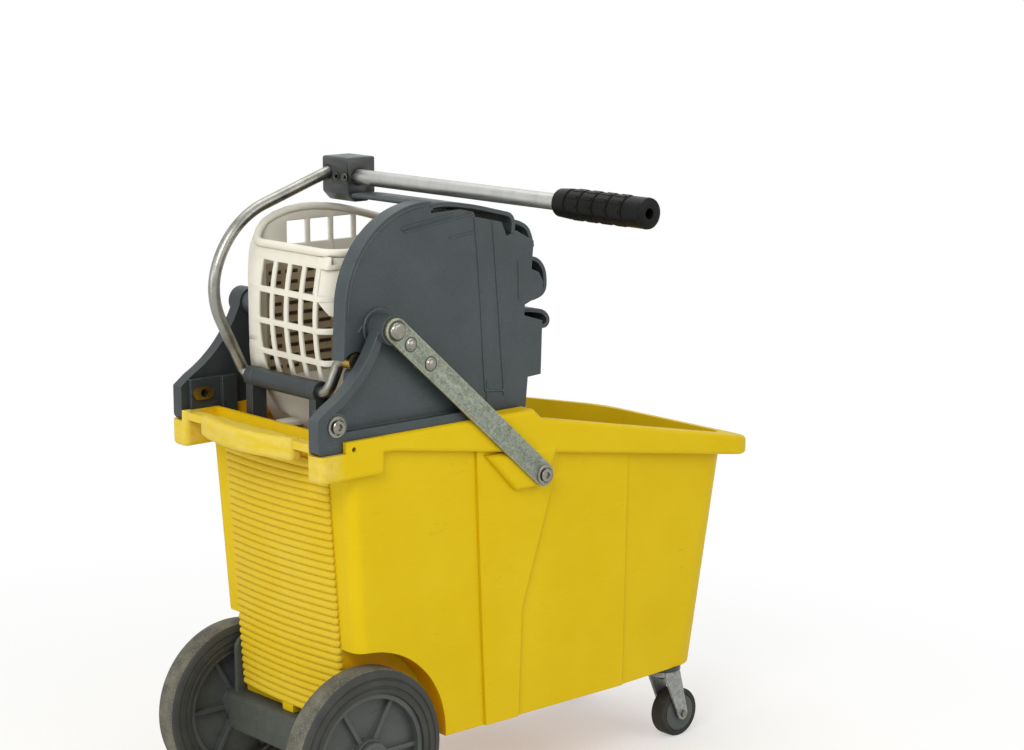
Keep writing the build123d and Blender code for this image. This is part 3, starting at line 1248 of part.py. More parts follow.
# Lever rod: one bent bar from the crank, through the bearing sleeve, up the hoop to the clamp block
CRANK_END_Y = -DRUM_OUTSIDE
CRANK_BEND_Y = -DRUM_INSIDE + ROD_R + BODY_GAP
with BuildPart() as lever_rod:
    with BuildLine() as rod_course:
        FilletPolyline(
            (CRANK_X, CRANK_END_Y, CRANK_Z),
            (CRANK_X, CRANK_BEND_Y, CRANK_Z),
            (LEVER_X, CRANK_FOOT_Y, LEVER_Z),
            (LEVER_X, HOOP_Y, LEVER_Z),
            (HOOP_X, HOOP_Y, HOOP_Z),
            (HOOP_SHOULDER_X, HOOP_Y, HOOP_SHOULDER_Z),
            (ROD_END_X, HOOP_Y, ROD_TOP_Z),
            radius=[CRANK_BEND_R, CRANK_BEND_R, ROD_TIGHT_R, HOOP_BEND_R, HOOP_SHOULDER_R],
        )
    with BuildSketch(Plane(origin=rod_course.line @ 0, z_dir=rod_course.line % 0)):
        Circle(ROD_R)
    sweep()
write(lever_rod, "lever_rod")

with BuildPart() as crank_bush:
    with BuildSketch(side_plane(-1, DRUM_OUTSIDE - CRANK_BUSH_LENGTH, DRUM_OUTSIDE)):
        with Locations((CRANK_X, CRANK_Z)):
            Circle(CRANK_BUSH_R)
            Circle(ROD_R, mode=Mode.SUBTRACT)
    extrude(amount=CRANK_BUSH_LENGTH)
write(crank_bush, "crank_bush")

# Clamp block that holds the rod and the handle tube at right angles
with BuildPart() as clamp_block:
    with BuildSketch(Plane.XZ.offset(-CLAMP_FAR_Y)):
        with Locations((BLOCK_X, CLAMP_BOTTOM)):
            Rectangle(CLAMP_DEPTH, CLAMP_ABOVE + CLAMP_BELOW, align=Align.MIN)
    extrude(amount=CLAMP_FAR_Y - CLAMP_NEAR_Y)
    chamfer(clamp_block.edges().filter_by(Axis.Y).group_by(Axis.Z)[0], CLAMP_CHAMFER)
    add(lever_rod.part, mode=Mode.SUBTRACT)
    with BuildSketch(Plane.XZ.offset(-CLAMP_NEAR_Y)):
        with Locations((TUBE_X, TUBE_Z)):
            Circle(TUBE_R)
    extrude(amount=-TUBE_TUCK, mode=Mode.SUBTRACT)
    with BuildSketch(Plane.YZ.offset(BLOCK_X)):
        with Locations((CLAMP_NEAR_Y + TUBE_TUCK / 2, TUBE_Z)):
            with GridLocations(GRUB_SPACING, 0, 2, 1):
                Circle(GRUB_R + RUN_CLEAR)
    extrude(amount=TUBE_X - BLOCK_X, mode=Mode.SUBTRACT)
write(clamp_block, "clamp_block")

with BuildPart() as grub_screws:
    with BuildSketch(Plane.YZ.offset(BLOCK_X)):
        with Locations((CLAMP_NEAR_Y + TUBE_TUCK / 2, TUBE_Z)):
            with GridLocations(GRUB_SPACING, 0, 2, 1):
                Circle(GRUB_R)
    extrude(amount=TUBE_X - TUBE_R - BLOCK_X)
    with BuildSketch(Plane.YZ.offset(BLOCK_X)):
        with Locations((CLAMP_NEAR_Y + TUBE_TUCK / 2, TUBE_Z)):
            with GridLocations(GRUB_SPACING, 0, 2, 1):
                RegularPolygon(GRUB_SOCKET_R, HEX_SIDES)
    extrude(amount=GRUB_R, mode=Mode.SUBTRACT)
write(grub_screws, "grub_screws")

# Handle tube and its grip with an open end
with BuildPart() as handle_tube:
    with BuildSketch(Plane.XZ.offset(-CLAMP_NEAR_Y - TUBE_TUCK)):
        with Locations((TUBE_X, TUBE_Z)):
            Circle(TUBE_R)
            Circle(TUBE_BORE_R, mode=Mode.SUBTRACT)
    extrude(amount=CLAMP_NEAR_Y + TUBE_TUCK - TUBE_END_Y)
write(handle_tube, "handle_tube")

GRIP_LENGTH = HANDLE_GRIP_START_Y - HANDLE_GRIP_END_Y
GROOVE_PITCH = GRIP_LENGTH / (GRIP_GROOVES + 1)
with BuildPart() as handle_grip:
    with BuildSketch(Plane.XZ.offset(-HANDLE_GRIP_START_Y)):
        with Locations((TUBE_X, TUBE_Z)):
            Circle(HANDLE_GRIP_R)
    extrude(amount=GRIP_LENGTH)
    fillet(handle_grip.edges().filter_by(GeomType.CIRCLE), GRIP_GROOVE_WIDTH)
    for groove in range(GRIP_GROOVES):
        with BuildSketch(Plane.XZ.offset(-HANDLE_GRIP_START_Y + GROOVE_PITCH * (groove + 1))):
            with Locations((TUBE_X, TUBE_Z)):
                Circle(HANDLE_GRIP_R)
                Circle(HANDLE_GRIP_R - GRIP_GROOVE_DEPTH, mode=Mode.SUBTRACT)
        extrude(amount=GRIP_GROOVE_WIDTH, mode=Mode.SUBTRACT)
    with BuildSketch(Plane.XZ.offset(-HANDLE_GRIP_START_Y)):
        with Locations((TUBE_X, TUBE_Z)):
            Circle(TUBE_R)
    extrude(amount=HANDLE_GRIP_START_Y - TUBE_END_Y, mode=Mode.SUBTRACT)
    with BuildSketch(Plane.XZ.offset(-TUBE_END_Y)):
        with Locations((TUBE_X, TUBE_Z)):
            Circle(GRIP_HOLE_R)
    extrude(amount=TUBE_END_Y - HANDLE_GRIP_END_Y, mode=Mode.SUBTRACT)
write(handle_grip, "handle_grip")
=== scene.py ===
"""Mop bucket with a lever wringer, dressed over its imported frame. Sizes in the fields are millimetres."""

import functools
import json
import logging
import math
from dataclasses import dataclass, replace
from enum import Enum
from typing import Sequence

import bmesh
import bpy
from bmesh.types import BMesh, BMVert
from bpy.types import Material, Mesh, NodeSocket, NodeTree, Object
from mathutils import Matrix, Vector

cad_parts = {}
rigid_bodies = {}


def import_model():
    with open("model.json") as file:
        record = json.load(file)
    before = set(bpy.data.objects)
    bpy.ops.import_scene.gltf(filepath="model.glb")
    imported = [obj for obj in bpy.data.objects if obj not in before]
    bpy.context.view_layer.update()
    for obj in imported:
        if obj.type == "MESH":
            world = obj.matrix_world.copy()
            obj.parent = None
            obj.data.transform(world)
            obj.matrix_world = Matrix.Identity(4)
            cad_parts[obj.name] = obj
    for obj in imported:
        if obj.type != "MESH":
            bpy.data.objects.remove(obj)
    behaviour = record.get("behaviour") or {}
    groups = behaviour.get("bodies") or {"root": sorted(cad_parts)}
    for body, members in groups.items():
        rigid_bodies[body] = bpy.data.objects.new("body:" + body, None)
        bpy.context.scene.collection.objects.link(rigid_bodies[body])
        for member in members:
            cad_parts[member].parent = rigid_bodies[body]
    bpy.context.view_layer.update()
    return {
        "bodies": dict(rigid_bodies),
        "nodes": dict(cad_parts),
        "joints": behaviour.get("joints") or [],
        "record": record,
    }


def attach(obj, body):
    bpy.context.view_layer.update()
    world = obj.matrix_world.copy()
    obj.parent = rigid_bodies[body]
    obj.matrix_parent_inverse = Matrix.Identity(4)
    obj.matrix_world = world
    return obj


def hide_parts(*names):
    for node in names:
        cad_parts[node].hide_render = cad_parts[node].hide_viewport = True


MM = 0.001
log = logging.getLogger("mop_bucket")

Pair = tuple[float, float]
Point = tuple[float, float, float]
Course = tuple[Pair, ...]
Layer = tuple[str, Sequence[NodeSocket]]

# Edges sharper than these angles, in degrees, stay crisp: on plain pieces, turned ones, panels and beads
CRISP, CRISP_TURNED, CRISP_PANEL, CRISP_BEAD = 32.0, 40.0, 50.0, 60.0
# Copied CAD meshes: points this close are one, faces this flat are one, and edges this sharp are rounded
MERGE, FLAT_ANGLE, SHARP_ANGLE = 0.002, 0.6, 35.0
# Steps round a bead and round a fixing's head
BEAD_SIDES, HEAD_STEPS = 10, 24
# Where a corner is cut to ease it, as shares of each line, and the turns that round a sheet's free edge
CORNER_CUTS, EDGE_TURNS = (0.25, 0.75), (80, 55, 30)
# Rays that find folds and rounded edges
SHADE_SAMPLES, EDGE_SAMPLES = 6, 4


class Side(Enum):
    """The two long sides of the bucket, by the sign of their Y."""

    NEAR = -1
    FAR = 1

    @property
    def label(self) -> str:
        """Name of the side as the CAD nodes have it."""
        return self.name.lower()


class Grain(Enum):
    """Direction that a metal was worked in, as the stretch of its fine lines."""

    ALONG_Y = (1.0, 0.02, 1.0)
    EVEN = (1.0, 1.0, 1.0)


def linear(code: str) -> tuple[float, float, float, float]:
    """Turn an sRGB hex value into a linear colour.

    Args:
        code: Colour such as "#E3C81E".

    Returns:
        Linear red, green, blue and an alpha of one.
    """
    parts = [int(code[place : place + 2], 16) / 255 for place in (1, 3, 5)]
    bent = [part / 12.92 if part <= 0.04045 else ((part + 0.055) / 1.055) ** 2.4 for part in parts]
    return (bent[0], bent[1], bent[2], 1.0)


def spans(span: Pair, result: Pair) -> dict[int, float]:
    """Settings that map a span of values onto a result, clamped."""
    return dict(enumerate((*span, *result), 1))


@dataclass(frozen=True)
class Graph:
    """A node tree that is being built."""

    tree: NodeTree

    def add(self, kind: str, settings: dict | None = None, links: dict | None = None) -> Sequence[NodeSocket]:
        """Add a node, set its properties and sockets, and link its inputs.

        Args:
            kind: Node type, which may leave out a leading "ShaderNode".
            settings: Property names, or socket names and numbers, with their values.
            links: Socket names or numbers with the output sockets that feed them.

        Returns:
            The new node's output sockets.
        """
        made = self.tree.nodes.new(kind if "Node" in kind else "ShaderNode" + kind)
        for key, value in (settings or {}).items():
            if isinstance(key, str) and hasattr(made, key):
                setattr(made, key, value)
            else:
                made.inputs[key].default_value = value
        for key, source in (links or {}).items():
            self.tree.links.new(source, made.inputs[key])
        return made.outputs

    def layered(self, base: str, layers: Sequence[Layer]) -> NodeSocket:
        """Lay colours over a base, one after the other.

        Args:
            base: Hex value of the base.
            layers: Hex value of each layer, with the shares whose product says how much of it shows.

        Returns:
            The colour of all layers together.
        """
        colour = None
        for code, (share, *others) in layers:
            for other in others:
                share = self.add("Math", {"operation": "MULTIPLY"}, {0: share, 1: other})[0]
            settings, links = {"data_type": "RGBA", 7: linear(code)}, {0: share}
            if colour is None:
                settings[6] = linear(base)
            else:
                links[6] = colour
            colour = self.add("Mix", settings, links)[2]
        return colour

    def eye_rays(self) -> NodeSocket:
        """Mark what the eye meets, straight on or in reflections and glass.

        Returns:
            One for rays from the eye, else nothing.
        """
        path = self.add("LightPath")
        found = path["Is Camera Ray"]
        for kind in ("Is Glossy Ray", "Is Transmission Ray"):
            found = self.add("Math", {"operation": "MAXIMUM"}, {0: found, 1: path[kind]})[0]
        return found


@dataclass(frozen=True)
class Marks:
    """Uneven marks of a real size, which show over a span of a noise's values."""

    size: float
    detail: float
    span: Pair = (0.35, 0.7)
    stretch: Point = (1.0, 1.0, 1.0)
    roughness: float = 0.6

    def noise(self, graph: Graph) -> NodeSocket:
        """Lay the noise on Object coordinates.

        Args:
            graph: The material's graph.

        Returns:
            The noise's value.
        """
        place = graph.add("TexCoord")["Object"]
        stretched = graph.add("Mapping", {"Scale": self.stretch}, {"Vector": place})[0]
        settings = {"Scale": 1 / (self.size * MM), "Detail": self.detail, "Roughness": self.roughness}
        return graph.add("TexNoise", settings, {"Vector": stretched})[0]

    def shown(self, graph: Graph, low: float, high: float) -> NodeSocket:
        """Lay the marks, with a low result beside them and a high one on them."""
        return graph.add("MapRange", spans(self.span, (low, high)), {0: self.noise(graph)})[0]


@dataclass(frozen=True)
class Finish:
    """A finish that dresses its own node material, which is named for the real one."""

    name: str
    colour: str

    def dress(self, graph: Graph) -> None:
        """Lay the finish in its material's graph."""
        raise NotImplementedError

    def close(self, graph: Graph, layers: Sequence[Layer], rough: NodeSocket, shader: dict, bump: Pair,
              relief: dict) -> None:
        """Close the material's graph with its surface.

        Args:
            graph: The material's graph.
            layers: Layers of colour over the finish's own.
            rough: Roughness of the surface.
            shader: Settings of the surface's shader.
            bump: Strength and depth of the fine relief.
            relief: Links of the fine relief.
        """
        normal = graph.add("Bump", {"Strength": bump[0], "Distance": bump[1] * MM}, relief)[0]
        links = {"Base Color": graph.layered(self.colour, layers), "Roughness": rough, "Normal": normal}
        surface = graph.add("BsdfPrincipled", shader, links)[0]
        graph.add("OutputMaterial", {}, {"Surface": surface})


def blank_material(name: str) -> tuple[Material, Graph]:
    """Make an empty node material.

    Args:
        name: Name of the material.

    Returns:
        The material and its graph.
    """
    material = bpy.data.materials.new(name)
    material.use_nodes = True
    material.node_tree.nodes.clear()
    return material, Graph(material.node_tree)


@functools.cache
def material_of(finish: Finish) -> Material:
    """Find the one material of a finish, which is made when it is first asked for.

    Args:
        finish: The finish.

    Returns:
        Its material.
    """
    material, graph = blank_material(finish.name)
    finish.dress(graph)
    return material


@dataclass(frozen=True)
class MouldedPlastic(Finish):
    """Injection moulded plastic: satin skin, faint clouds, long scuffs, short scratches, grime specks and
    painted shade in folds.
    """

    worn: str
    dirt_and_shade: str
    roughness: float
    rough_range: Pair = (-0.07, 0.1)
    sheen: Marks = Marks(25.0, 5)
    gloss: float = 0.25
    cloud: float = 90.0
    cloud_share: float = 0.5
    speckle: float = 1.4
    speckle_span: Pair = (0.5, 0.7)
    speckle_share: float = 0.15
    scuffs: Marks = Marks(3.0, 3, (0.6, 0.72), (0.06, 0.06, 1.0))
    scuff_share: float = 0.3
    scratches: Marks = Marks(9.0, 1, (0.002, 0.006), (0.16, 1.0, 1.3))
    scratched: Marks = Marks(45.0, 2, (0.6, 0.66))
    scratch_share: float = 0.5
    # Painted shade, in the colour of the grime, where the surface folds in within this reach
    fold_shade_reach: float = 12.0
    fold_shade_span: Pair = (0.3, 0.8)
    fold_shade_share: float = 0.45
    # Moulded grain is about 0.1 mm in reality; it is drawn as coarse as it needs to show
    grain: float = 0.9
    grain_bump: Pair = (0.35, 0.03)
    edge: float = 0.8
    # Edges painted pale, in patches: a painted highlight with rubbing
    lit_and_rubbed_edge: str = ""
    lit_edge_span: Pair = (0.8, 0.99)
    lit_edge_share: float = 0.8
    lit_edge_patches: Marks = Marks(6.0, 4, (0.35, 0.6))
    lit_edge_low: float = 0.3
    # Painted bounce light: a tint inside a hollow, away from its folds
    painted_bounce: str = ""
    bounce_reach: float = 260.0
    bounce_span: Pair = (0.25, 0.5)
    bounce_share: float = 0.9
    bounce_open: Pair = (0.4, 0.9)
    # Skin painted paler between these X and beyond, towards the rear grip: a painted highlight with wear from
    # hands
    grip_wear_and_highlight: str = ""
    grip_highlight_span: Pair = (-30.0, -45.0)
    grip_highlight_share: float = 0.8
    grip_highlight_marks: Marks = Marks(7.0, 5, (0.35, 0.6), (1.0, 0.3, 1.0))
    grip_highlight_low: float = 0.25

    def openness(self, graph: Graph, reach: float) -> NodeSocket:
        """How open the surface is within a reach."""
        return graph.add("AmbientOcclusion", {"Distance": reach * MM, "samples": SHADE_SAMPLES})["AO"]

    def dress(self, graph: Graph) -> None:
        """Lay clouds, scuffs, scratches, wear, painted shade in folds, any painted highlights and bounce
        light, soft edges and fine grain.

        Args:
            graph: The material's graph.
        """
        folds = self.openness(graph, self.fold_shade_reach)
        rounded = graph.add("Bevel", {"samples": EDGE_SAMPLES, "Radius": self.edge * MM})[0]
        # Scratches are thin lines where a noise crosses its middle
        band = graph.add("Math", {"operation": "SUBTRACT", 1: 0.5}, {0: self.scratches.noise(graph)})[0]
        thin = graph.add("Math", {"operation": "ABSOLUTE"}, {0: band})[0]
        lines = graph.add("MapRange", spans(self.scratches.span, (1, 0)), {0: thin})[0]
        specks = Marks(self.speckle, detail=2, span=self.speckle_span)
        layers = [
            (self.worn, [Marks(self.cloud, detail=4).shown(graph, 0, self.cloud_share)]),
            (self.worn, [self.scuffs.shown(graph, 0, self.scuff_share)]),
            (self.dirt_and_shade, [specks.shown(graph, 0, self.speckle_share)]),
            (self.dirt_and_shade, [lines, self.scratched.shown(graph, 0, self.scratch_share)]),
            # Painted shade in the folds
            (self.dirt_and_shade, [graph.add("MapRange", spans(self.fold_shade_span, (self.fold_shade_share, 0)), {0: folds})[0]]),
        ]
        # Painted highlight, with rubbing, on rounded edges
        if self.lit_and_rubbed_edge:
            flat = graph.add("NewGeometry")["Normal"]
            turn = graph.add("VectorMath", {"operation": "DOT_PRODUCT"}, {0: flat, 1: rounded})["Value"]
            edge = graph.add("MapRange", spans(self.lit_edge_span, (self.lit_edge_share, 0)), {0: turn})[0]
            layers.append((self.lit_and_rubbed_edge, [edge, self.lit_edge_patches.shown(graph, self.lit_edge_low, 1)]))
        # Painted bounce light: a tint deep inside hollows, away from the folds
        if self.painted_bounce:
            depth = self.openness(graph, self.bounce_reach)
            inside = graph.add("MapRange", spans(self.bounce_span, (self.bounce_share, 0)), {0: depth})[0]
            plain = graph.add("MapRange", spans(self.bounce_open, (0, 1)), {0: folds})[0]
            layers.append((self.painted_bounce, [inside, plain]))
        # Painted highlight, with wear from hands, towards the rear grip
        if self.grip_wear_and_highlight:
            along = graph.add("SeparateXYZ", {}, {0: graph.add("TexCoord")["Object"]})[0]
            start, stop = (x * MM for x in self.grip_highlight_span)
            near = graph.add("MapRange", spans((start, stop), (0, self.grip_highlight_share)), {0: along})[0]
            layers.append((self.grip_wear_and_highlight, [near, self.grip_highlight_marks.shown(graph, self.grip_highlight_low, 1)]))
        low, high = (self.roughness + change for change in self.rough_range)
        rough = self.sheen.shown(graph, low, high)
        relief = {"Height": Marks(self.grain, detail=2).noise(graph), "Normal": rounded}
        shader = {"Specular IOR Level": self.gloss}
        self.close(graph, layers, rough, shader, self.grain_bump, relief)


@dataclass(frozen=True)
class GalvanisedSheet(Finish):
    """Hot-dip galvanised steel: grey zinc crystals that differ in shade and gloss, dulled by weather."""

    bright: str
    stain: str
    spangle: float = 2.4
    spangle_share: float = 0.7
    stains: Marks = Marks(10.0, 6, (0.5, 0.7))
    stain_share: float = 0.5
    rough_range: Pair = (0.4, 0.65)
    metal: float = 0.85
    # Zinc's pits are finer in reality; they are drawn as coarse as they need to show
    pits: Marks = Marks(1.2, 3)
    pit_bump: Pair = (0.3, 0.05)

    def dress(self, graph: Graph) -> None:
        """Lay a spangle of crystals, stains and pits.

        Args:
            graph: The material's graph.
        """
        links = {"Vector": graph.add("TexCoord")["Object"]}
        crystals = graph.add("TexVoronoi", {"Scale": 1 / (self.spangle * MM)}, links)["Color"]
        shades = graph.add("SeparateColor", {}, {0: crystals})
        share, rough = (
            graph.add("MapRange", spans((0, 1), result), {0: shade})[0]
            for result, shade in zip(((0, self.spangle_share), self.rough_range), shades)
        )
        layers = [(self.bright, [share]), (self.stain, [self.stains.shown(graph, 0, self.stain_share)])]
        relief = {"Height": self.pits.noise(graph)}
        self.close(graph, layers, rough, {"Metallic": self.metal}, self.pit_bump, relief)


@dataclass(frozen=True)
class Grained(Finish):
    """Patches of a second colour over a fine grain, which also gives the roughness and the relief.

    Such grain is finer in reality; it is drawn as coarse as it needs to show.
    """

    second: str
    roughness: float
    grain: Marks
    grain_share: float
    grain_bump: Pair
    patches: Marks
    patch_share: float
    rough_span: Pair
    rough_range: Pair
    metal: float
    gloss: float

    def dress(self, graph: Graph) -> None:
        """Lay the patches and the grain.

        Args:
            graph: The material's graph.
        """
        grain = self.grain.noise(graph)
        shown = graph.add("MapRange", spans(self.grain.span, (0, self.grain_share)), {0: grain})[0]
        layers = [(self.second, [self.patches.shown(graph, 0, self.patch_share)]), (self.second, [shown])]
        low, high = (self.roughness + change for change in self.rough_range)
        rough = graph.add("MapRange", spans(self.rough_span, (low, high)), {0: grain})[0]
        shader = {"Metallic": self.metal, "Specular IOR Level": self.gloss}
        self.close(graph, layers, rough, shader, self.grain_bump, {"Height": grain})


@dataclass(frozen=True)
class DrawnMetal(Grained):
    """Drawn or turned metal: fine lines along the way it was worked, with dull patches where hands held it.
    """

    grain: Marks = Marks(0.8, 2, (0.4, 0.75), Grain.EVEN.value)
    grain_share: float = 0.45
    grain_bump: Pair = (0.2, 0.03)
    patches: Marks = Marks(18.0, 5, (0.45, 0.7))
    patch_share: float = 0.8
    rough_span: Pair = (0.3, 0.7)
    rough_range: Pair = (-0.06, 0.12)
    metal: float = 1.0
    gloss: float = 0.5


@dataclass(frozen=True)
class SolidRubber(Grained):
    """Moulded solid rubber: matt, dusty, with a grit of pale specks where it rubs on the floor."""

    grain: Marks = Marks(1.2, 3, (0.5, 0.66))
    grain_share: float = 0.5
    grain_bump: Pair = (0.5, 0.12)
    patches: Marks = Marks(30.0, 5, (0.4, 0.7))
    patch_share: float = 0.55
    rough_span: Pair = (0.3, 0.7)
    rough_range: Pair = (-0.1, 0.12)
    metal: float = 0.0
    gloss: float = 0.25


# Warm yellow with a dull sheen, orange painted bounce light in its depths, and paler towards the rear grip: a
# painted highlight with wear from hands
TUB_YELLOW = MouldedPlastic(
    "yellow_polypropylene", "#CDAE04", "#D8BB1C", "#9A6E06", 0.5, gloss=0.1, cloud=120.0, speckle_share=0.06,
    scratch_share=0.3, fold_shade_share=0.3, grain=1.6, edge=0.7, painted_bounce="#E09A02", grip_wear_and_highlight="#D2BC5A",
)
# The same yellow, paler on the ribs: a painted highlight
RIB_YELLOW_LIT = replace(
    TUB_YELLOW, name="yellow_polypropylene_rubbed", colour="#CFB022", worn="#D6BE48", painted_bounce=""
)
# Blue-grey satin with fine specks, and edges painted paler: a painted highlight with rubbing
FRAME_GREY = MouldedPlastic(
    "grey_polypropylene", "#394042", "#485051", "#1F2325", 0.42, gloss=0.35, cloud=40.0, cloud_share=0.4,
    speckle_share=0.35, scratch_share=0.2, edge=1.3, lit_and_rubbed_edge="#6C7374",
)
# The same grey, paler on the rounded edges: a painted highlight with some wear
FRAME_LIT_EDGE = MouldedPlastic(
    "grey_polypropylene_rubbed_edge", "#4C5354", "#646A6A", "#2A2E2E", 0.42, gloss=0.4, cloud=12.0
)
# The sleeve and the far bracket take a darker copy of the grey, with more shade in its folds: painted shade
# where they sit shaded over the tub
FRAME_SHADED = replace(
    FRAME_GREY, name="grey_polypropylene_grimy", colour="#2C3132", worn="#3B4142", fold_shade_share=0.6
)
# Near black and a little glossy
CLAMP_GREY = MouldedPlastic(
    "dark_clamp_polyamide", "#2A2C2A", "#3B3D3A", "#161716", 0.36, gloss=0.5, cloud=12.0
)
# Dull grey under a film of dust
BEAM_GREY = MouldedPlastic(
    "grey_polypropylene_dusty", "#454843", "#55564F", "#22211D", 0.6, cloud=30.0, speckle_share=0.4
)
# Plain mid grey with a soft sheen
HUB_GREY = MouldedPlastic("grey_hub_nylon", "#424644", "#545751", "#222321", 0.5, gloss=0.35, cloud=25.0)
# Warm white, browner in its corners: painted shade with grime
BASKET_WHITE = MouldedPlastic(
    "white_polypropylene", "#D6D2C2", "#E0DDD0", "#8A7856", 0.45, cloud=60.0, speckle_share=0.06,
    scratch_share=0.1, fold_shade_reach=10.0, fold_shade_share=0.6, edge=1.2,
)
# Once white, stained to a blotched beige by dirty water; on the basket's far wall it also serves as painted
# shade
PRESS_BEIGE = MouldedPlastic(
    "stained_white_polypropylene", "#A8977A", "#BFB094", "#63503A", 0.55, cloud=25.0, speckle_share=0.3
)
# Dark brown painted shade of an open slot
SLOT_SHADE = MouldedPlastic("soiled_polypropylene", "#3A2E20", "#4A3C2A", "#1E1710", 0.7, cloud=8.0)
# Grey-green flecks of zinc crystals
STRAP_ZINC = GalvanisedSheet("galvanised_strip", "#767D70", "#A2A99A", "#5C5F4E", spangle=1.7)
# Cut edges, paler and yellower than the faces
STRAP_EDGE = GalvanisedSheet("galvanised_strip_cut_edge", "#A09A72", "#B8B08A", "#7A7450", spangle=1.6)
# Even mid grey metal, softly flecked
FORK_ZINC = GalvanisedSheet("zinc_plated_fork", "#8A8D8B", "#A9ACAA", "#5A5A52")
# Grey steel with dull patches where hands held it
ROD_STEEL = DrawnMetal("drawn_steel_bar", "#9A9A92", "#6A6A62", 0.34)
# Pale metal with a long soft highlight
TUBE_ALUMINIUM = DrawnMetal(
    "drawn_aluminium_tube", "#BFC0BC", "#ABACA7", 0.36, replace(DrawnMetal.grain, stretch=Grain.ALONG_Y.value)
)
# Small bright heads with dull spots, and the same in muted gold
SPOTS = replace(DrawnMetal.grain, size=1.5)
FIXING_STEEL = DrawnMetal("zinc_plated_fixing", "#96948B", "#65614F", 0.26, SPOTS)
FIXING_BRASS = DrawnMetal("yellow_passivated_steel", "#B49A55", "#87703A", 0.34, SPOTS)
# Black with a low sheen from hands
GRIP_BLACK = SolidRubber(
    "black_grip_rubber", "#0B0B0A", "#191815", 0.35, replace(SolidRubber.grain, size=0.9), 0.2, gloss=0.12
)
# Dark grey walls, and a paler tread full of floor grit
TYRE_SIDE = SolidRubber("grey_tyre_sidewall", "#343633", "#44453F", 0.6, grain_share=0.15)
TYRE_TREAD = SolidRubber(
    "grey_tyre_tread", "#45453E", "#858170", 0.75, replace(SolidRubber.grain, size=1.5), 0.6
)
# Near black under dust
CASTER_BLACK = SolidRubber("black_caster_rubber", "#1F201E", "#43433D", 0.75)


def solid(name: str, shell: BMesh) -> Object:
    """Put a working mesh in the scene as an object at the origin.

    Args:
        name: Name of the object.
        shell: Working mesh, which is freed.

    Returns:
        The object.
    """
    mesh = bpy.data.meshes.new(name)
    shell.to_mesh(mesh)
    shell.free()
    made = bpy.data.objects.new(name, mesh)
    bpy.context.scene.collection.objects.link(made)
    return made


def give(mesh: Mesh, finishes: Sequence[Finish]) -> None:
    """Give a mesh the materials of its finishes, in place of any others.

    Args:
        mesh: The mesh.
        finishes: Finish of each material slot.
    """
    mesh.materials.clear()
    for finish in finishes:
        mesh.materials.append(material_of(finish))


def settled(made: Object, finishes: Sequence[Finish], crisp: float = CRISP) -> Object:
    """Turn an object's modifiers into plain mesh, shade it and give it its finishes.

    Args:
        made: Object with any modifiers.
        finishes: Finish of each material slot.
        crisp: Edges sharper than this many degrees stay crisp.

    Returns:
        The same object, without modifiers.
    """
    graph = bpy.context.evaluated_depsgraph_get()
    plain = bpy.data.meshes.new_from_object(made.evaluated_get(graph))
    made.modifiers.clear()
    made.data = plain
    # Clearing the materials also clears each face's slot, so the slots are set again
    slots = [min(face.material_index, len(finishes) - 1) for face in plain.polygons]
    give(plain, finishes)
    plain.polygons.foreach_set("material_index", slots)
    plain.polygons.foreach_set("use_smooth", [True] * len(plain.polygons))
    plain.set_sharp_from_angle(angle=math.radians(crisp))
    plain.update()
    return made


def turns(steps: int) -> list[float]:
    """Angles of a full turn in equal steps."""
    return [math.tau * step / steps for step in range(steps)]


def skin(shell: BMesh, loops: list[list[BMVert]], closed: bool = False, second: range = range(0)) -> None:
    """Join rings of points by bands of faces, and cap the ends of an open run.

    Args:
        shell: Mesh that gets the faces.
        loops: Points of each ring.
        closed: Whether the last ring joins the first one.
        second: Bands that get the second finish.
    """
    bands = list(zip(loops, loops[1:] + loops[:1]))
    for band, (one, two) in enumerate(bands if closed else bands[:-1]):
        for step in range(len(one)):
            after = (step + 1) % len(one)
            face = shell.faces.new((one[step], one[after], two[after], two[step]))
            face.material_index = int(band in second)
    if not closed:
        shell.faces.new(loops[0])
        shell.faces.new(loops[-1])
    bmesh.ops.recalc_face_normals(shell, faces=shell.faces)


def lathe(rings: Sequence[Pair], centre: Pair, steps: int, second: range = range(0)) -> BMesh:
    """Turn a closed profile round an axis along Y.

    Args:
        rings: Radius and Y of each ring of the profile.
        centre: X and Z of the axis.
        steps: Number of steps round.
        second: Bands between two rings that get the second finish.

    Returns:
        The turned shape.
    """
    shell = bmesh.new()
    loops = []
    for radius, along in rings:
        loop = []
        for turn in turns(steps):
            spot = (centre[0] + radius * math.cos(turn), along, centre[1] + radius * math.sin(turn))
            loop.append(shell.verts.new(Vector(spot) * MM))
        loops.append(loop)
    skin(shell, loops, True, second)
    return shell


def piping(shell: BMesh, course: Sequence[Point], radius: float, sides: int = BEAD_SIDES,
           tip: float = 1.0) -> None:
    """Run a round bead along a course.

    Args:
        shell: Mesh that gets the faces.
        course: Points of the course.
        radius: Radius of the bead.
        sides: Steps round the bead.
        tip: Share of the radius that is left at both ends.
    """
    spots = [Vector(spot) * MM for spot in course]
    last = len(spots) - 1
    loops = []
    for place, spot in enumerate(spots):
        ahead = (spots[min(place + 1, last)] - spots[max(place - 1, 0)]).normalized()
        across = across - ahead * across.dot(ahead) if loops else ahead.orthogonal()
        across.normalize()
        other = ahead.cross(across)
        wide = radius * MM * (tip if place in (0, last) else 1)
        reaches = [(across * math.cos(turn) + other * math.sin(turn)) * wide for turn in turns(sides)]
        loops.append([shell.verts.new(spot + reach) for reach in reaches])
    skin(shell, loops)


def beads(courses: Sequence[Sequence[Point]], radius: float) -> BMesh:
    """Make one shape of round beads.

    Args:
        courses: Course of each bead.
        radius: Radius of the beads.

    Returns:
        The beads.
    """
    shell = bmesh.new()
    for course in courses:
        piping(shell, course, radius)
    return shell


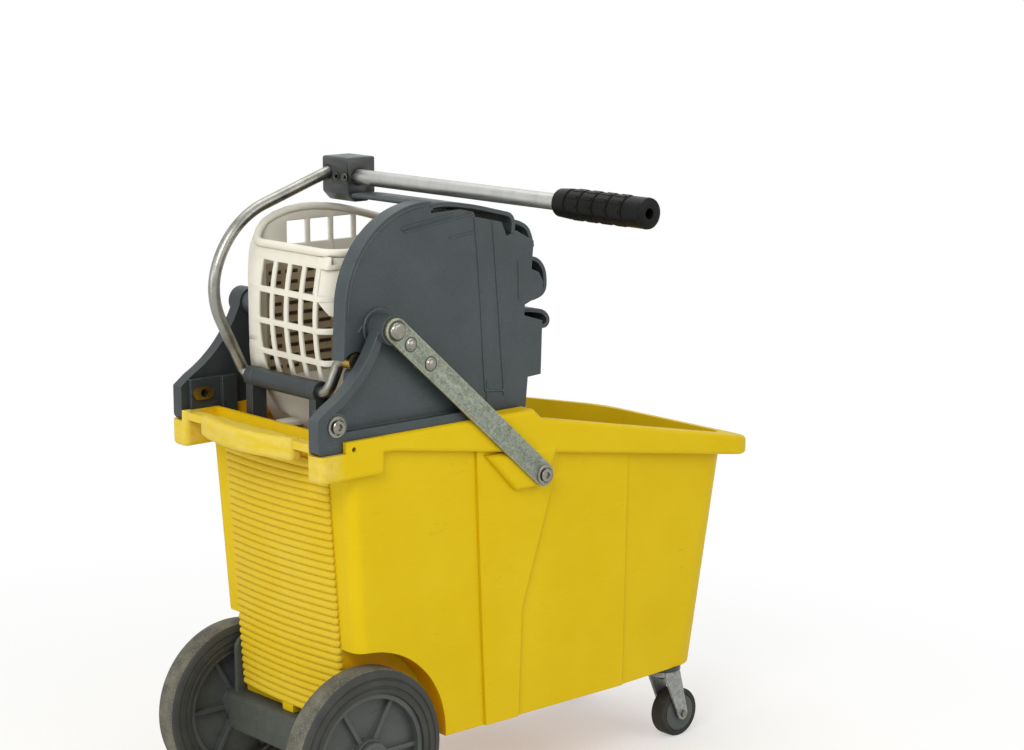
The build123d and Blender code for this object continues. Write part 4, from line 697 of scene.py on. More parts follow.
def eased(course: Sequence[Pair], closed: bool, rounds: int = 3) -> list[Pair]:
    """Round the corners of a course by cutting them again and again.

    Args:
        course: Points of the course in a plane.
        closed: Whether the last point joins the first one.
        rounds: How often the corners are cut.

    Returns:
        The points of the smooth course.
    """
    points = list(course)
    for _ in range(rounds):
        cut = []
        for one, two in zip(points, points[1:] + points[:1] if closed else points[1:]):
            cut += [tuple(a + (b - a) * share for a, b in zip(one, two)) for share in CORNER_CUTS]
        points = cut if closed else [points[0], *cut[1:-1], points[-1]]
    return points


def bent_sheet(course: Sequence[Pair], closed: bool, thick: float, sides: Pair) -> BMesh:
    """Bend a sheet along a smooth course and run it across the object, with round free edges.

    Args:
        course: X and Z of the corners of the sheet's middle line.
        closed: Whether the sheet closes on itself.
        thick: Thickness of the sheet.
        sides: Y of both ends.

    Returns:
        The sheet.
    """
    spots = [Vector((x, 0, z)) for x, z in eased(course, closed)]
    stations = []
    for place, spot in enumerate(spots):
        before = spots[place - 1] if closed or place else spot
        after = spots[(place + 1) % len(spots)] if closed or place < len(spots) - 1 else spot
        stations.append((spot, (after - before).normalized(), thick / 2))
    if not closed:
        (first, lead, _), (last, tail, _) = stations[0], stations[-1]
        starts, stops = [], []
        for turn in map(math.radians, EDGE_TURNS):
            shift, half = math.sin(turn) * thick / 2, math.cos(turn) * thick / 2
            starts.append((first - lead * shift, lead, half))
            stops.insert(0, (last + tail * shift, tail, half))
        stations = starts + stations + stops
    shell = bmesh.new()
    loops = []
    for spot, ahead, half in stations:
        over = Vector((-ahead.z, 0, ahead.x)) * half
        corners = zip((spot + over, spot + over, spot - over, spot - over), (*sides, *reversed(sides)))
        loops.append([shell.verts.new(Vector((corner.x, y, corner.z)) * MM) for corner, y in corners])
    skin(shell, loops, closed)
    return shell


@dataclass
class Assembly:
    """Sub-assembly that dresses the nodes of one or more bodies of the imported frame."""

    frame: dict

    def place(self, made: Object, body: str, slot: str, *nodes: str) -> None:
        """Let a finished piece ride on a body.

        Args:
            made: The finished piece.
            body: CAD body that it rides on.
            slot: The record's material slot; it is not used.
            nodes: CAD nodes that it stands for, if any.
        """
        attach(made, body)
        if nodes:
            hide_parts(*nodes)
        log.info("%s on %s, %d faces", made.name, body, len(made.data.polygons))

    def softened(self, node: str, name: str, body: str, slot: str, edge: float, finishes: Sequence[Finish],
                 steps: int = 3) -> None:
        """Copy a CAD node, make its flat faces whole, round its sharp edges and let the copy stand for it.

        Args:
            node: CAD node.
            name: Name of the new piece.
            body: CAD body that it rides on.
            slot: The record's material slot.
            edge: Width of the rounding.
            finishes: Finish of the faces and, where there is a second one, of the rounded edges.
            steps: Steps of the rounding.
        """
        shell = bmesh.new()
        shell.from_mesh(self.frame["nodes"][node].data)
        bmesh.ops.remove_doubles(shell, verts=shell.verts, dist=MERGE * MM)
        flat = math.radians(FLAT_ANGLE)
        bmesh.ops.dissolve_limit(shell, angle_limit=flat, verts=shell.verts, edges=shell.edges)
        made = solid(name, shell)
        give(made.data, finishes)
        bevel = made.modifiers.new("edges", "BEVEL")
        bevel.width = edge * MM
        bevel.segments = steps
        bevel.limit_method = "ANGLE"
        bevel.angle_limit = math.radians(SHARP_ANGLE)
        bevel.use_clamp_overlap = False
        bevel.miter_outer = "MITER_ARC"
        bevel.material = len(finishes) - 1
        self.place(settled(made, finishes), body, slot, node)

    def painted(self, finish: Finish, *nodes: str) -> None:
        """Give CAD nodes that keep their shape a finish."""
        for node in nodes:
            give(self.frame["nodes"][node].data, [finish])


@dataclass
class Repeats:
    """A small shape that repeats in a row, which may turn as it goes, and that row along a second one."""

    name: str
    unit: BMesh
    spot: Point
    shift: Point = (0, 0, 0)
    turn: Point = (0, 0, 0)
    copies: int = 1
    step: Point = (0, 0, 0)
    rows: int = 1

    def build(self, finish: Finish) -> Object:
        """Set the copies out as one plain mesh.

        Args:
            finish: Finish of the copies.

        Returns:
            The copies.
        """
        tree = bpy.data.node_groups.new(self.name, "GeometryNodeTree")
        for way in ("INPUT", "OUTPUT"):
            tree.interface.new_socket("Copies", in_out=way, socket_type="NodeSocketGeometry")
        graph = Graph(tree)
        turn = {"operation": "SCALE", 0: [math.radians(angle) for angle in self.turn]}
        turned = graph.add("VectorMath", turn, {"Scale": graph.add("GeometryNodeInputIndex")[0]})[0]
        turned = graph.add("FunctionNodeEulerToRotation", {}, {0: turned})[0]
        links = {"Instance": graph.add("NodeGroupInput")[0], "Rotation": turned}
        spot, shift, step = (Vector(value) * MM for value in (self.spot, self.shift, self.step))
        row = {"Count": self.copies, "Offset": shift}
        for line in (row, {"Count": self.rows, "Start Location": spot, "Offset": step}):
            links["Points"] = graph.add("GeometryNodeMeshLine", line)[0]
            links = {"Instance": graph.add("GeometryNodeInstanceOnPoints", {}, links)[0]}
        real = graph.add("GeometryNodeRealizeInstances", {}, {0: links["Instance"]})[0]
        look = {"Material": material_of(finish)}
        painted = graph.add("GeometryNodeSetMaterial", look, {"Geometry": real})[0]
        graph.add("NodeGroupOutput", {}, {0: painted})
        made = solid(self.name, self.unit)
        made.modifiers.new("rows", "NODES").node_group = tree
        return settled(made, [finish])


def fixing_head(rings: Sequence[Pair], socket: Pair | None = None) -> BMesh:
    """Make a fixing's head that faces the near side.

    Args:
        rings: Radius and height of each ring, from the seat up.
        socket: Half width and depth of a six-sided socket, if it has one.

    Returns:
        The head, at the origin.
    """
    shell = bmesh.new()
    courses = [(radius, height, False) for radius, height in rings]
    if socket:
        half, depth = socket
        top = rings[-1][1]
        courses += [(half, top, True), (half, top - depth, True)]
    loops = []
    for radius, height, six_sided in courses:
        loop = []
        for turn in turns(HEAD_STEPS):
            reach = radius / math.cos((turn % (math.pi / 3)) - math.pi / 6) if six_sided else radius
            spot = Vector((reach * math.cos(turn), -height, reach * math.sin(turn)))
            loop.append(shell.verts.new(spot * MM))
        loops.append(loop)
    skin(shell, loops)
    return shell


def bar(size: Point, middle: Point = (0, 0, 0)) -> BMesh:
    """Make a straight bar.

    Args:
        size: Size along each axis.
        middle: Middle of the bar.

    Returns:
        The bar.
    """
    shell = bmesh.new()
    bmesh.ops.create_cube(shell, size=1)
    for corner in shell.verts:
        places = [place + share * length for share, length, place in zip(corner.co, size, middle)]
        corner.co = Vector(places) * MM
    return shell


@dataclass
class Tub(Assembly):
    """The moulded tub with its ribbed rear wall, rim and rear grip."""

    rib_count: int = 34
    rib_pitch: float = 7.9
    rib_first: float = 121.6
    rib_radius: float = 4.45
    rib_sides: int = 20
    rib_tip: float = 2.6
    rib_tip_share: float = 0.45
    rib_half_span: float = 84.0
    rib_bow: float = 6.0
    rib_steps: int = 28
    rib_sunk: float = 2.65
    # X and Z of the rear wall's foot and top
    rear_low: Pair = (-3.0, 86.0)
    rear_high: Pair = (-25.0, 415.0)

    def ribs(self) -> None:
        """Round the ribs of the rear wall: one bowed bead, repeated up the wall."""
        reach = self.rib_half_span
        course = [(0.0, -reach - self.rib_tip, 0.0)]
        for step in range(self.rib_steps + 1):
            y = reach * (2 * step / self.rib_steps - 1)
            course.append((-self.rib_bow * (1 - (y / reach) ** 2), y, 0.0))
        course.append((0.0, reach + self.rib_tip, 0.0))
        shell = bmesh.new()
        piping(shell, course, self.rib_radius, self.rib_sides, self.rib_tip_share)
        lean = (self.rear_high[0] - self.rear_low[0]) / (self.rear_high[1] - self.rear_low[1])
        x = self.rear_low[0] + lean * (self.rib_first - self.rear_low[1])
        spot = (x + self.rib_sunk, 0, self.rib_first)
        step = (lean * self.rib_pitch, 0, self.rib_pitch)
        rows = Repeats("wall_ribs", shell, spot, step=step, rows=self.rib_count)
        # The ribs take the paler copy of the yellow: a painted highlight
        self.place(rows.build(RIB_YELLOW_LIT), "bucket", "tub_plastic")

    def build(self) -> None:
        """Give the tub its plastic, which keeps the CAD's own rounding, and round the ribs."""
        self.painted(TUB_YELLOW, "bucket_tub")
        self.ribs()


@dataclass
class RearGear(Assembly):
    """Rear beam, axle, wheels and hub caps."""

    axle_height: float = 90.0
    beam_edge: float = 1.2
    hub_edge: float = 0.8
    tyre_middle: float = 110.5
    tyre_half: float = 16.0
    tyre_steps: int = 96
    bore: float = 66.0
    # Rise from the bore and fall from the widest point, outwards over the stepped sidewall and onto the tread
    wall: Course = (
        (0, -1.0), (2.0, 0), (4.6, 0), (5.2, -1.4), (7.4, -1.6), (8.0, -0.3),
        (13.2, -0.6), (13.8, -1.8), (15.2, -1.9), (15.8, -0.9), (20.6, -2.2),
    )
    tread: Course = ((22.8, -4.0), (24.0, -6.6))

    def tyre(self, side: Side) -> None:
        """Turn a tyre with a flat gritty tread and stepped sidewalls.

        Args:
            side: Side of the bucket.
        """
        profile = [(self.bore + rise, self.tyre_half + fall) for rise, fall in self.wall + self.tread]
        profile += [(radius, -along) for radius, along in reversed(profile)]
        rings = [(radius, side.value * self.tyre_middle + along) for radius, along in profile]
        gritty = range(len(self.wall), len(self.wall) + 2 * len(self.tread) - 1)
        shell = lathe(rings, (0, self.axle_height), self.tyre_steps, gritty)
        made = settled(solid("tyre_" + side.label, shell), [TYRE_SIDE, TYRE_TREAD], CRISP_TURNED)
        self.place(made, "rear_wheel_" + side.label, "wheel_rubber", "rear_tyre_" + side.label)

    def build(self) -> None:
        """Dress the beam, the axle and both wheels."""
        self.softened("axle_beam", "beam_shell", "bucket", "frame_plastic", self.beam_edge, [BEAM_GREY])
        self.painted(FIXING_STEEL, "rear_axle", "beam_screws")
        for side in Side:
            label = side.label
            self.tyre(side)
            hubs = (
                ("rear_wheel_hub_" + label, "hub_" + label, "rear_wheel_" + label),
                ("hub_cap_" + label, "cap_" + label, "bucket"),
            )
            for node, name, body in hubs:
                self.softened(node, name, body, "hub_plastic", self.hub_edge, [HUB_GREY])


@dataclass
class Casters(Assembly):
    """Swivel casters under the nose of the tub."""

    edge: float = 0.6
    tyre_edge: float = 1.2

    def build(self) -> None:
        """Dress both casters."""
        for label in (side.label for side in Side):
            wheel = "caster_wheel_" + label
            tyre = "caster_tyre_" + label
            self.painted(FIXING_STEEL, "caster_axle_" + label)
            pieces = (
                ("caster_mount_" + label, "mount_", "bucket", "galvanised", self.edge, CLAMP_GREY),
                ("caster_fork_" + label, "fork_", "caster_" + label, "galvanised", self.edge, FORK_ZINC),
                (wheel, "caster_hub_", wheel, "hub_plastic", self.edge, HUB_GREY),
                (tyre, "caster_ring_", wheel, "caster_rubber", self.tyre_edge, CASTER_BLACK),
            )
            for node, name, body, slot, edge, finish in pieces:
                self.softened(node, name + label, body, slot, edge, [finish])


@dataclass
class WringerFrame(Assembly):
    """Side brackets, brace straps, cross member and their fixings."""

    strap_edge: float = 0.8
    strap_edge_steps: int = 2
    # Distance of the seats from the bucket's middle
    strap_face: float = 133.0
    foot_face: float = 123.0
    pad_face: float = 122.8
    # X and Z of the fixings, and runs of the rivets from the pivot along the strap
    pivot: Pair = (30.0, 518.0)
    strap_end: Pair = (223.0, 346.0)
    foot_bolt: Pair = (-37.0, 431.0)
    pad_spot: Pair = (-43.0, 418.0)
    rivet_runs: Pair = (23.0, 56.0)
    pad_size: Point = (26.0, 8.0, 14.0)
    # Radius and height of the rings of each head, and half width and depth of its socket
    washer: Course = ((10.6, 0), (10.6, 1.4), (10.0, 1.8), (8.2, 1.8), (7.9, 0.3), (7.0, 0.3))
    foot_cap: Course = ((6.9, 4.0), (6.2, 4.8))
    foot_socket: Pair = (3.4, 2.4)
    strap_cap: Course = ((6.9, 3.6), (6.2, 4.3))
    strap_socket: Pair = (3.2, 2.2)
    dome: Course = (
        (6.4, 0), (6.4, 0.5), (5.4, 0.8), (5.0, 1.5), (4.2, 2.2), (2.8, 2.75), (1.0, 3.0)
    )
    pivot_shade_ring: Course = ((10.4, 0), (10.4, 0.4), (10.0, 0.6), (9.0, 0.6))
    rivet_shade_ring: Course = ((7.6, 0), (7.6, 0.3), (7.2, 0.4), (6.4, 0.4))

    def fixings(self) -> None:
        """Set the bolts, pads and rivets on both sides, with dark rings of painted shade under the pivots and
        rivets.
        """
        start, end = (Vector((x, 0, z)) for x, z in (self.pivot, self.strap_end))
        first, last = (start + (end - start).normalized() * run for run in self.rivet_runs)
        rivet = (first.x, first.z)
        foot_bolt = fixing_head(self.washer + self.foot_cap, self.foot_socket)
        strap_bolt = fixing_head(self.washer + self.strap_cap, self.strap_socket)
        pad = bar(self.pad_size, (0, self.pad_size[1] / 2, 0))
        # The seat rings are dark rings of painted shade under the rivet and pivot heads
        dome, seat, wide_shade_ring = map(fixing_head, (self.dome, self.rivet_shade_ring, self.pivot_shade_ring))
        pieces = (
            ("foot_bolts", foot_bolt, self.foot_bolt, self.foot_face, FIXING_STEEL, ["frame_bolts"]),
            ("strap_end_bolts", strap_bolt, self.strap_end, self.strap_face, FIXING_STEEL, ["strap_bolts"]),
            ("foot_pads", pad, self.pad_spot, self.pad_face, FRAME_GREY, []),
            ("rivet_heads", dome, rivet, self.strap_face, FIXING_STEEL, ["strap_rivets"]),
            ("pivot_seats", wide_shade_ring, self.pivot, self.strap_face, CLAMP_GREY, []),
            ("rivet_seats", seat, rivet, self.strap_face, CLAMP_GREY, []),
        )
        for name, unit, (x, z), face, finish, nodes in pieces:
            heads = Repeats(name, unit, (x, -face, z), (0, face * 2, 0), turn=(180, 0, 0), copies=len(Side))
            if name.startswith("rivet"):
                heads.step, heads.rows = tuple(last - first), len(self.rivet_runs)
            slot = "bright_steel" if finish is FIXING_STEEL else "frame_plastic"
            self.place(heads.build(finish), "bucket", slot, *nodes)

    def build(self) -> None:
        """Dress the brackets, straps, cross member and fixings."""
        for side in Side:
            label = side.label
            # The far bracket takes the darker copy of the grey: painted shade
            self.painted(FRAME_SHADED if side is Side.FAR else FRAME_GREY, "side_bracket_" + label)
            self.softened("brace_strap_" + label, "strap_" + label, "bucket", "galvanised", self.strap_edge,
                          [STRAP_ZINC, STRAP_EDGE], self.strap_edge_steps)
            self.painted(FIXING_STEEL, "pivot_pin_" + label)
        # The sleeve takes the darker copy of the grey: painted shade
        self.painted(FRAME_SHADED, "cross_member")
        self.fixings()
        self.painted(FIXING_BRASS, "nut_plates")
        self.painted(FIXING_STEEL, "basket_screws")


@dataclass
class Basket(Assembly):
    """Slotted basket that the press plate works against."""

    edge: float = 0.8
    # Rolled lip: its radius, the places of its middle line, and X and Z of its course along both long walls
    lip: float = 4.2
    rear: float = 5.2
    rear_top: float = 587.6
    near_face: float = -65.0
    far_face: float = 75.0
    corner: float = 20.0
    corner_steps: int = 8
    near_front: Course = ((181.0, 548.0), (94.0, 577.0), (45.0, 585.0))
    far_lift: float = 18.0
    far_rise: Course = (
        (36.4, 610.8), (52.4, 615.2), (69.1, 617.0), (85.8, 616.9), (102.5, 615.3),
        (119.1, 612.6), (135.5, 609.0), (151.7, 604.7), (167.9, 600.1), (182.0, 595.8),
    )
    # Corner panel: heights of its foot at both ends, the pace of its fall, and the wall that it lies on
    funnel_feet: Pair = (548.0, 526.0)
    funnel_pace: float = 1.5
    funnel_radius: float = 22.0
    funnel_proud: float = 0.4
    funnel_thick: float = 1.6
    wall_face: float = -66.0
    rear_wall: float = 2.0
    rear_lean: float = -0.2
    rear_height: float = 578.0
    # Beige face on the far wall's inside: a stain that is also painted shade, with dark bars of painted shade
    # for its slots
    stain_shade_size: Point = (104.0, 0.6, 118.0)
    stain_shade_spot: Point = (76.0, 72.8, 503.0)
    slot_size: Point = (15.0, 1.4, 3.4)
    slot_first: Point = (34.0, 72.4, 552.0)
    slot_shift: Point = (21.0, 0.0, 0.0)
    slot_step: Point = (0.0, 0.0, -11.0)
    slot_grid: tuple[int, int] = (5, 10)

    def corner_turns(self) -> list[float]:
        """Angles of a quarter turn in equal steps."""
        return [math.radians(90 * step / self.corner_steps) for step in range(self.corner_steps + 1)]

    def lip_course(self) -> list[Point]:
        """Course of the rolled lip: near wall, rear wall, then up round the far wall.

        Returns:
            The points of the course.
        """
        course = [(x, self.near_face, z) for x, z in self.near_front]
        for turn in self.corner_turns():
            x = self.rear + self.corner * (1 - math.sin(turn))
            course.append((x, self.near_face + self.corner * (1 - math.cos(turn)), self.rear_top))
        for turn in self.corner_turns():
            rise = 1 - math.cos(turn)
            y = self.far_face - self.corner * (1 - math.sin(turn))
            course.append((self.rear + self.corner * rise, y, self.rear_top + self.far_lift * rise))
        return course + [(x, self.far_face, z) for x, z in self.far_rise]

    def funnel(self) -> None:
        """Close the corner column of the two top rows of windows with a panel whose foot falls away."""
        shell = bmesh.new()
        loops = []
        start, stop = self.funnel_feet
        reach = self.funnel_radius + self.funnel_proud
        for step, turn in enumerate(self.corner_turns()):
            foot = start + (stop - start) * min(1, step / self.corner_steps * self.funnel_pace)
            y = self.wall_face + self.funnel_radius - reach * math.sin(turn)
            loop = []
            for height in (self.rear_top - self.lip, (self.rear_top + foot) / 2, foot):
                rear = self.rear_wall + self.rear_lean * (self.rear_height - height)
                x = rear + self.funnel_radius * (1 - math.cos(turn)) - self.funnel_proud
                loop.append(shell.verts.new(Vector((x, y, height)) * MM))
            loops.append(loop)
        for one, two in zip(loops, loops[1:]):
            for row in range(len(one) - 1):
                shell.faces.new((one[row], one[row + 1], two[row + 1], two[row]))
        bmesh.ops.recalc_face_normals(shell, faces=shell.faces)
        bmesh.ops.solidify(shell, geom=shell.faces[:], thickness=self.funnel_thick * MM)
        made = settled(solid("funnel_panel", shell), [BASKET_WHITE], CRISP_PANEL)
        self.place(made, "bucket", "basket_plastic")

    def stain(self) -> None:
        """Line the far wall's inside with a stained face that also paints its shade, and dark bars of painted
        shade for its slots.
        """
        panel = Repeats("stained_face", bar(self.stain_shade_size), self.stain_shade_spot)
        self.place(panel.build(PRESS_BEIGE), "bucket", "basket_plastic")
        columns, rows = self.slot_grid
        unit = bar(self.slot_size)
        slots = Repeats("wall_slots", unit, self.slot_first, self.slot_shift, copies=columns)
        slots.step, slots.rows = self.slot_step, rows
        self.place(slots.build(SLOT_SHADE), "bucket", "basket_plastic")

    def build(self) -> None:
        """Round the basket's bars, roll a lip on its rim, close its corner and line its far wall."""
        self.funnel()
        self.stain()
        self.softened("wringer_basket", "basket_shell", "bucket", "basket_plastic", self.edge, [BASKET_WHITE])
        lip = solid("basket_lip", beads([self.lip_course()], self.lip))
        self.place(settled(lip, [BASKET_WHITE], CRISP_BEAD), "bucket", "basket_plastic")


@dataclass
class PressDrum(Assembly):
    """Press drum: side plates, slats and the press plate."""

    plate_edge: float = 1.4
    press_edge: float = 1.2
    # Relief on the near plate's face: X, Z and radius of the line along its round edge, X and Z of the rest
    face: float = -103.0
    line: float = 1.2
    arc: Point = (91.0, 535.0, 97.0)
    arc_turns: range = range(92, 186, 3)
    rib_slot: Course = (
        (152.0, 619.5), (128.0, 616.5), (96.0, 612.5), (64.0, 608.5),
        (61.0, 611.0), (66.0, 613.2), (96.0, 617.0), (128.0, 621.0),
    )
    blade: Course = ((5.5, 515.0), (9.2, 519.5), (14.2, 523.8), (21.6, 525.9), (30.3, 527.0))
    panels: tuple[Course, ...] = (
        ((154.0, 615.0), (158.7, 572.0), (162.5, 520.0), (167.6, 437.0)),
        ((178.0, 609.0), (182.6, 559.0), (187.9, 497.0), (193.3, 429.0)),
        ((168.0, 437.0), (193.0, 434.0)),
        ((170.0, 418.0), (170.0, 446.0)),
        ((122.0, 597.5), (153.5, 601.0)),
        ((213.0, 565.0), (214.0, 526.0)),
    )
    pivot: Pair = (30.0, 518.0)
    hub_ring: Course = ((19.5, 0), (19.5, 1.6), (18.7, 2.4), (15.2, 2.4))
    # Each slat's name, whether it closes on itself, Y of its ends, X and Z of the corners of its middle line
    slat_thick: float = 4.2
    slats: tuple[tuple[str, bool, Pair, Course], ...] = (
        ("top", False, (-103.0, 22.0), (
            (98.0, 631.0), (118.0, 632.0), (152.0, 627.0), (188.0, 618.0),
            (203.0, 614.5), (207.0, 606.0), (205.5, 596.0),
        )),
        ("lip", False, (-85.0, 81.0), ((214.0, 606.0), (230.0, 602.5), (243.0, 595.0), (248.5, 577.0))),
        ("nose", True, (-85.0, 81.0), (
            (230.0, 542.0), (230.0, 560.0), (230.0, 566.0), (238.0, 565.0), (254.0, 563.0), (264.0, 553.0),
            (266.5, 541.0), (266.0, 529.0), (258.0, 523.0), (236.0, 520.0), (230.0, 519.0), (230.0, 526.0),
        )),
        ("finger", False, (-85.0, 81.0), (
            (234.0, 511.0), (252.0, 509.0), (265.0, 506.0), (272.0, 497.0), (267.0, 490.0), (254.0, 492.0),
        )),
    )
    slot_size: Point = (1.0, 17.0, 4.0)
    slot_first: Point = (106.4, -46.0, 556.0)
    slot_shift: Point = (0.0, 24.0, 0.0)
    slot_step: Point = (2.9, 0.0, -14.0)
    slot_grid: tuple[int, int] = (5, 9)

    def relief(self) -> None:
        """Set the moulded lines and the hub's ring on the near plate."""
        x, z, radius = self.arc
        angles = [math.radians(turn) for turn in self.arc_turns]
        edge = [(x + radius * math.cos(angle), z + radius * math.sin(angle)) for angle in angles]
        lines = (self.rib_slot, self.blade, edge, *self.panels)
        courses = [[(x, self.face, z) for x, z in line] for line in lines]
        made = settled(solid("plate_lines", beads(courses, self.line)), [FRAME_GREY], CRISP_BEAD)
        self.place(made, "press_drum", "frame_plastic")
        spot = (self.pivot[0], self.face, self.pivot[1])
        ring = Repeats("plate_hub_ring", fixing_head(self.hub_ring), spot)
        self.place(ring.build(FRAME_GREY), "press_drum", "frame_plastic")

    def slots(self) -> None:
        """Set dark bars of painted shade where the drain slots are, in rows over the press plate."""
        columns, rows = self.slot_grid
        unit = bar(self.slot_size)
        slots = Repeats("press_slots", unit, self.slot_first, self.slot_shift, copies=columns)
        slots.step, slots.rows = self.slot_step, rows
        self.place(slots.build(SLOT_SHADE), "press_drum", "frame_plastic")

    def build(self) -> None:
        """Dress the plates, slats and press plate."""
        plastic = ("press_drum", "frame_plastic")
        self.softened("drum_plate_far", "drum_side_far", *plastic, self.plate_edge, [FRAME_GREY, FRAME_LIT_EDGE])
        for name, closed, sides, course in self.slats:
            made = solid("slat_" + name, bent_sheet(course, closed, self.slat_thick, sides))
            self.place(settled(made, [FRAME_GREY], CRISP_TURNED), *plastic, name + "_slat")
        self.painted(FRAME_GREY, "drum_plate_near")
        self.softened("press_plate", "press_board", *plastic, self.press_edge, [PRESS_BEIGE])
        self.relief()
        self.slots()


@dataclass
class Lever(Assembly):
    """Bent rod, clamp block, handle tube and grip."""

    clamp_edge: float = 2.2
    clamp_edge_steps: int = 4
    tube_x: float = 116.0
    tube_z: float = 648.0
    grip_start: float = -272.0
    grip_end: float = -390.0
    grip_radius: float = 14.4
    grip_steps: int = 64
    # Radius and distance along Y of the profile at both ends, the outer one with its hole
    start_rings: Course = ((8.05, 0.0), (11.8, 0.0), (13.4, -1.6))
    end_rings: Course = (
        (14.4, 4.0), (14.6, 3.0), (14.2, 0.6), (12.6, 0.0), (5.0, 0.0), (5.0, 9.2), (8.05, 9.2)
    )
    # Depth and distance along Y of a groove's profile
    groove: Course = ((0.0, 2.0), (1.3, 1.2), (1.3, -1.2), (0.0, -2.0))
    groove_pitch: float = 19.0
    groove_count: int = 5
    ridge_size: Point = (0.9, 12.0, 3.2)
    ridge_count: int = 10
    # Rows of ridges between the grooves, and the pitches from the grip's start to the first row
    ridge_rows: int = 4
    ridge_first: float = 1.5

    def grip(self) -> None:
        """Turn the rubber grip with its ring grooves and end hole, and set the ridges between the grooves."""
        rings = [(radius, self.grip_start + along) for radius, along in self.start_rings]
        for count in range(1, self.groove_count + 1):
            middle = self.grip_start - self.groove_pitch * count
            rings += [(self.grip_radius - depth, middle + along) for depth, along in self.groove]
        rings += [(radius, self.grip_end + along) for radius, along in self.end_rings]
        shell = lathe(rings, (self.tube_x, self.tube_z), self.grip_steps)
        made = settled(solid("grip_sleeve", shell), [GRIP_BLACK], CRISP_TURNED)
        self.place(made, "lever", "grip_rubber", "handle_grip")
        ridge = bar(self.ridge_size, (self.grip_radius, 0, 0))
        first = (self.tube_x, self.grip_start - self.groove_pitch * self.ridge_first, self.tube_z)
        ridges = Repeats("grip_ridges", ridge, first, copies=self.ridge_count, rows=self.ridge_rows)
        ridges.turn, ridges.step = (0, 360 / self.ridge_count, 0), (0, -self.groove_pitch, 0)
        self.place(ridges.build(GRIP_BLACK), "lever", "grip_rubber")

    def build(self) -> None:
        """Dress the rod, the block, the tube and the grip."""
        self.painted(ROD_STEEL, "lever_rod")
        self.painted(FIXING_BRASS, "crank_bush")
        self.softened("clamp_block", "clamp_body", "lever", "frame_plastic", self.clamp_edge,
                      [CLAMP_GREY, FRAME_GREY], self.clamp_edge_steps)
        self.painted(FIXING_STEEL, "grub_screws")
        self.painted(TUBE_ALUMINIUM, "handle_tube")
        self.grip()


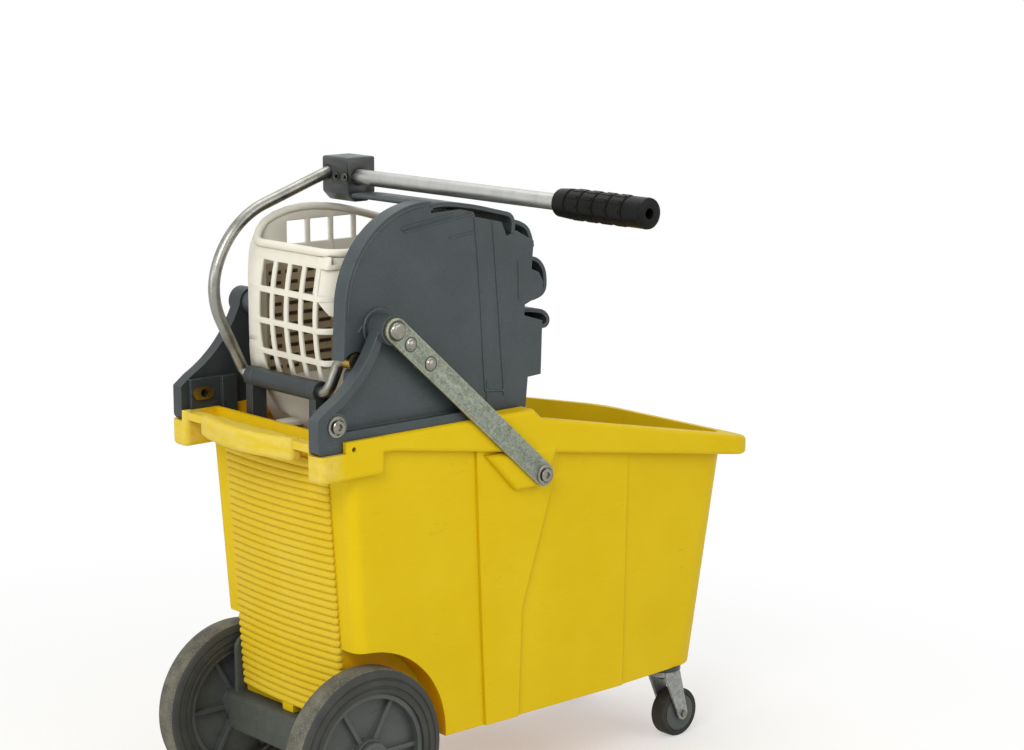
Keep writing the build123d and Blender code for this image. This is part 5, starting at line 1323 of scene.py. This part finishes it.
@dataclass
class Studio:
    """Pale floor, soft light and the photograph's camera."""

    camera_spot: Point = (-1384.7, -1905.3, 904.0)
    heading: Pair = (0.6613, 0.7501)
    pitch: float = 10.73
    lens: float = 83.7
    sensor: float = 36.0
    sight: float = 100000.0
    floor_reach: float = 9000.0
    # Distances between which the floor fades to white, and the share of white nearer than that
    floor_fade: Pair = (300.0, 1100.0)
    floor_haze: float = 0.3
    floor_colour: str = "#F2F2F0"
    sky_colour: str = "#FFFFFF"
    # Strength of the sky as light, and as the eye sees it
    sky: Pair = (0.55, 1.0)
    lamp_target: Point = (180.0, 0.0, 330.0)
    # Name, place, power in watts and size of each soft lamp
    lamps: tuple[tuple[str, Point, float, float], ...] = (
        ("key", (-1800.0, -1300.0, 2100.0), 38.0, 1200.0),
        ("fill", (900.0, -2300.0, 1300.0), 15.0, 1600.0),
        ("top", (300.0, 500.0, 2600.0), 20.0, 1600.0),
        ("rear", (-2600.0, 300.0, 900.0), 13.0, 1200.0),
    )

    def aimed(self, data: bpy.types.ID, spot: Point, aim: Vector) -> Object:
        """Set a lamp or a camera in the scene.

        Args:
            data: The lamp or camera.
            spot: Its place.
            aim: Direction that it looks in.

        Returns:
            The object that holds it.
        """
        holder = bpy.data.objects.new(data.name, data)
        holder.location = Vector(spot) * MM
        holder.rotation_euler = aim.to_track_quat("-Z", "Y").to_euler()
        bpy.context.scene.collection.objects.link(holder)
        return holder

    def floor(self) -> None:
        """Lay the floor: it keeps the shadow near the bucket and fades to white further out."""
        reach = self.floor_reach * MM
        shell = bmesh.new()
        corners = [(-reach, -reach, 0), (reach, -reach, 0), (reach, reach, 0), (-reach, reach, 0)]
        shell.faces.new([shell.verts.new(corner) for corner in corners])
        made = solid("floor", shell)
        material, graph = blank_material("studio_floor")
        place = graph.add("TexCoord")["Object"]
        distance = graph.add("VectorMath", {"operation": "LENGTH"}, {0: place})["Value"]
        near, far = self.floor_fade
        fade = spans((near * MM, far * MM), (self.floor_haze, 1))
        links = {0: graph.add("MapRange", fade, {0: distance})[0], 1: graph.eye_rays()}
        share = graph.add("Math", {"operation": "MULTIPLY"}, links)[0]
        matt = graph.add("BsdfDiffuse", {"Color": linear(self.floor_colour)})[0]
        links = {0: share, 1: matt, 2: graph.add("Emission")[0]}
        surface = graph.add("MixShader", {}, links)[0]
        graph.add("OutputMaterial", {}, {"Surface": surface})
        made.data.materials.append(material)

    def light(self) -> None:
        """Hang soft lamps and set the sky: white to the eye and in reflections, softer as light."""
        world = bpy.data.worlds.new("studio_sky")
        world.use_nodes = True
        world.node_tree.nodes.clear()
        graph = Graph(world.node_tree)
        links = {0: graph.eye_rays()}
        for place, strength in enumerate(self.sky, 1):
            settings = {"Color": linear(self.sky_colour), "Strength": strength}
            links[place] = graph.add("Background", settings)[0]
        shown = graph.add("MixShader", {}, links)[0]
        graph.add("OutputWorld", {}, {"Surface": shown})
        bpy.context.scene.world = world
        for name, spot, power, size in self.lamps:
            lamp = bpy.data.lights.new(name, "AREA")
            lamp.energy = power
            lamp.size = size * MM
            self.aimed(lamp, spot, Vector(self.lamp_target) - Vector(spot))

    def camera(self) -> None:
        """Set the camera where the photograph was taken."""
        data = bpy.data.cameras.new("camera")
        data.lens = self.lens
        data.sensor_width = self.sensor
        data.clip_end = self.sight * MM
        down = math.radians(self.pitch)
        aim = Vector((self.heading[0] * math.cos(down), self.heading[1] * math.cos(down), -math.sin(down)))
        bpy.context.scene.camera = self.aimed(data, self.camera_spot, aim)

    def build(self) -> None:
        """Set the floor, the light and the camera."""
        self.floor()
        self.light()
        self.camera()
        bpy.context.scene.view_settings.view_transform = "Standard"


def main() -> None:
    """Load the frame, dress each sub-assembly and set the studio."""
    logging.basicConfig(level=logging.INFO, format="%(message)s")
    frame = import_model()
    for assembly in (Tub, RearGear, Casters, WringerFrame, Basket, PressDrum, Lever):
        assembly(frame).build()
    Studio().build()


if __name__ == "__main__":
    main()
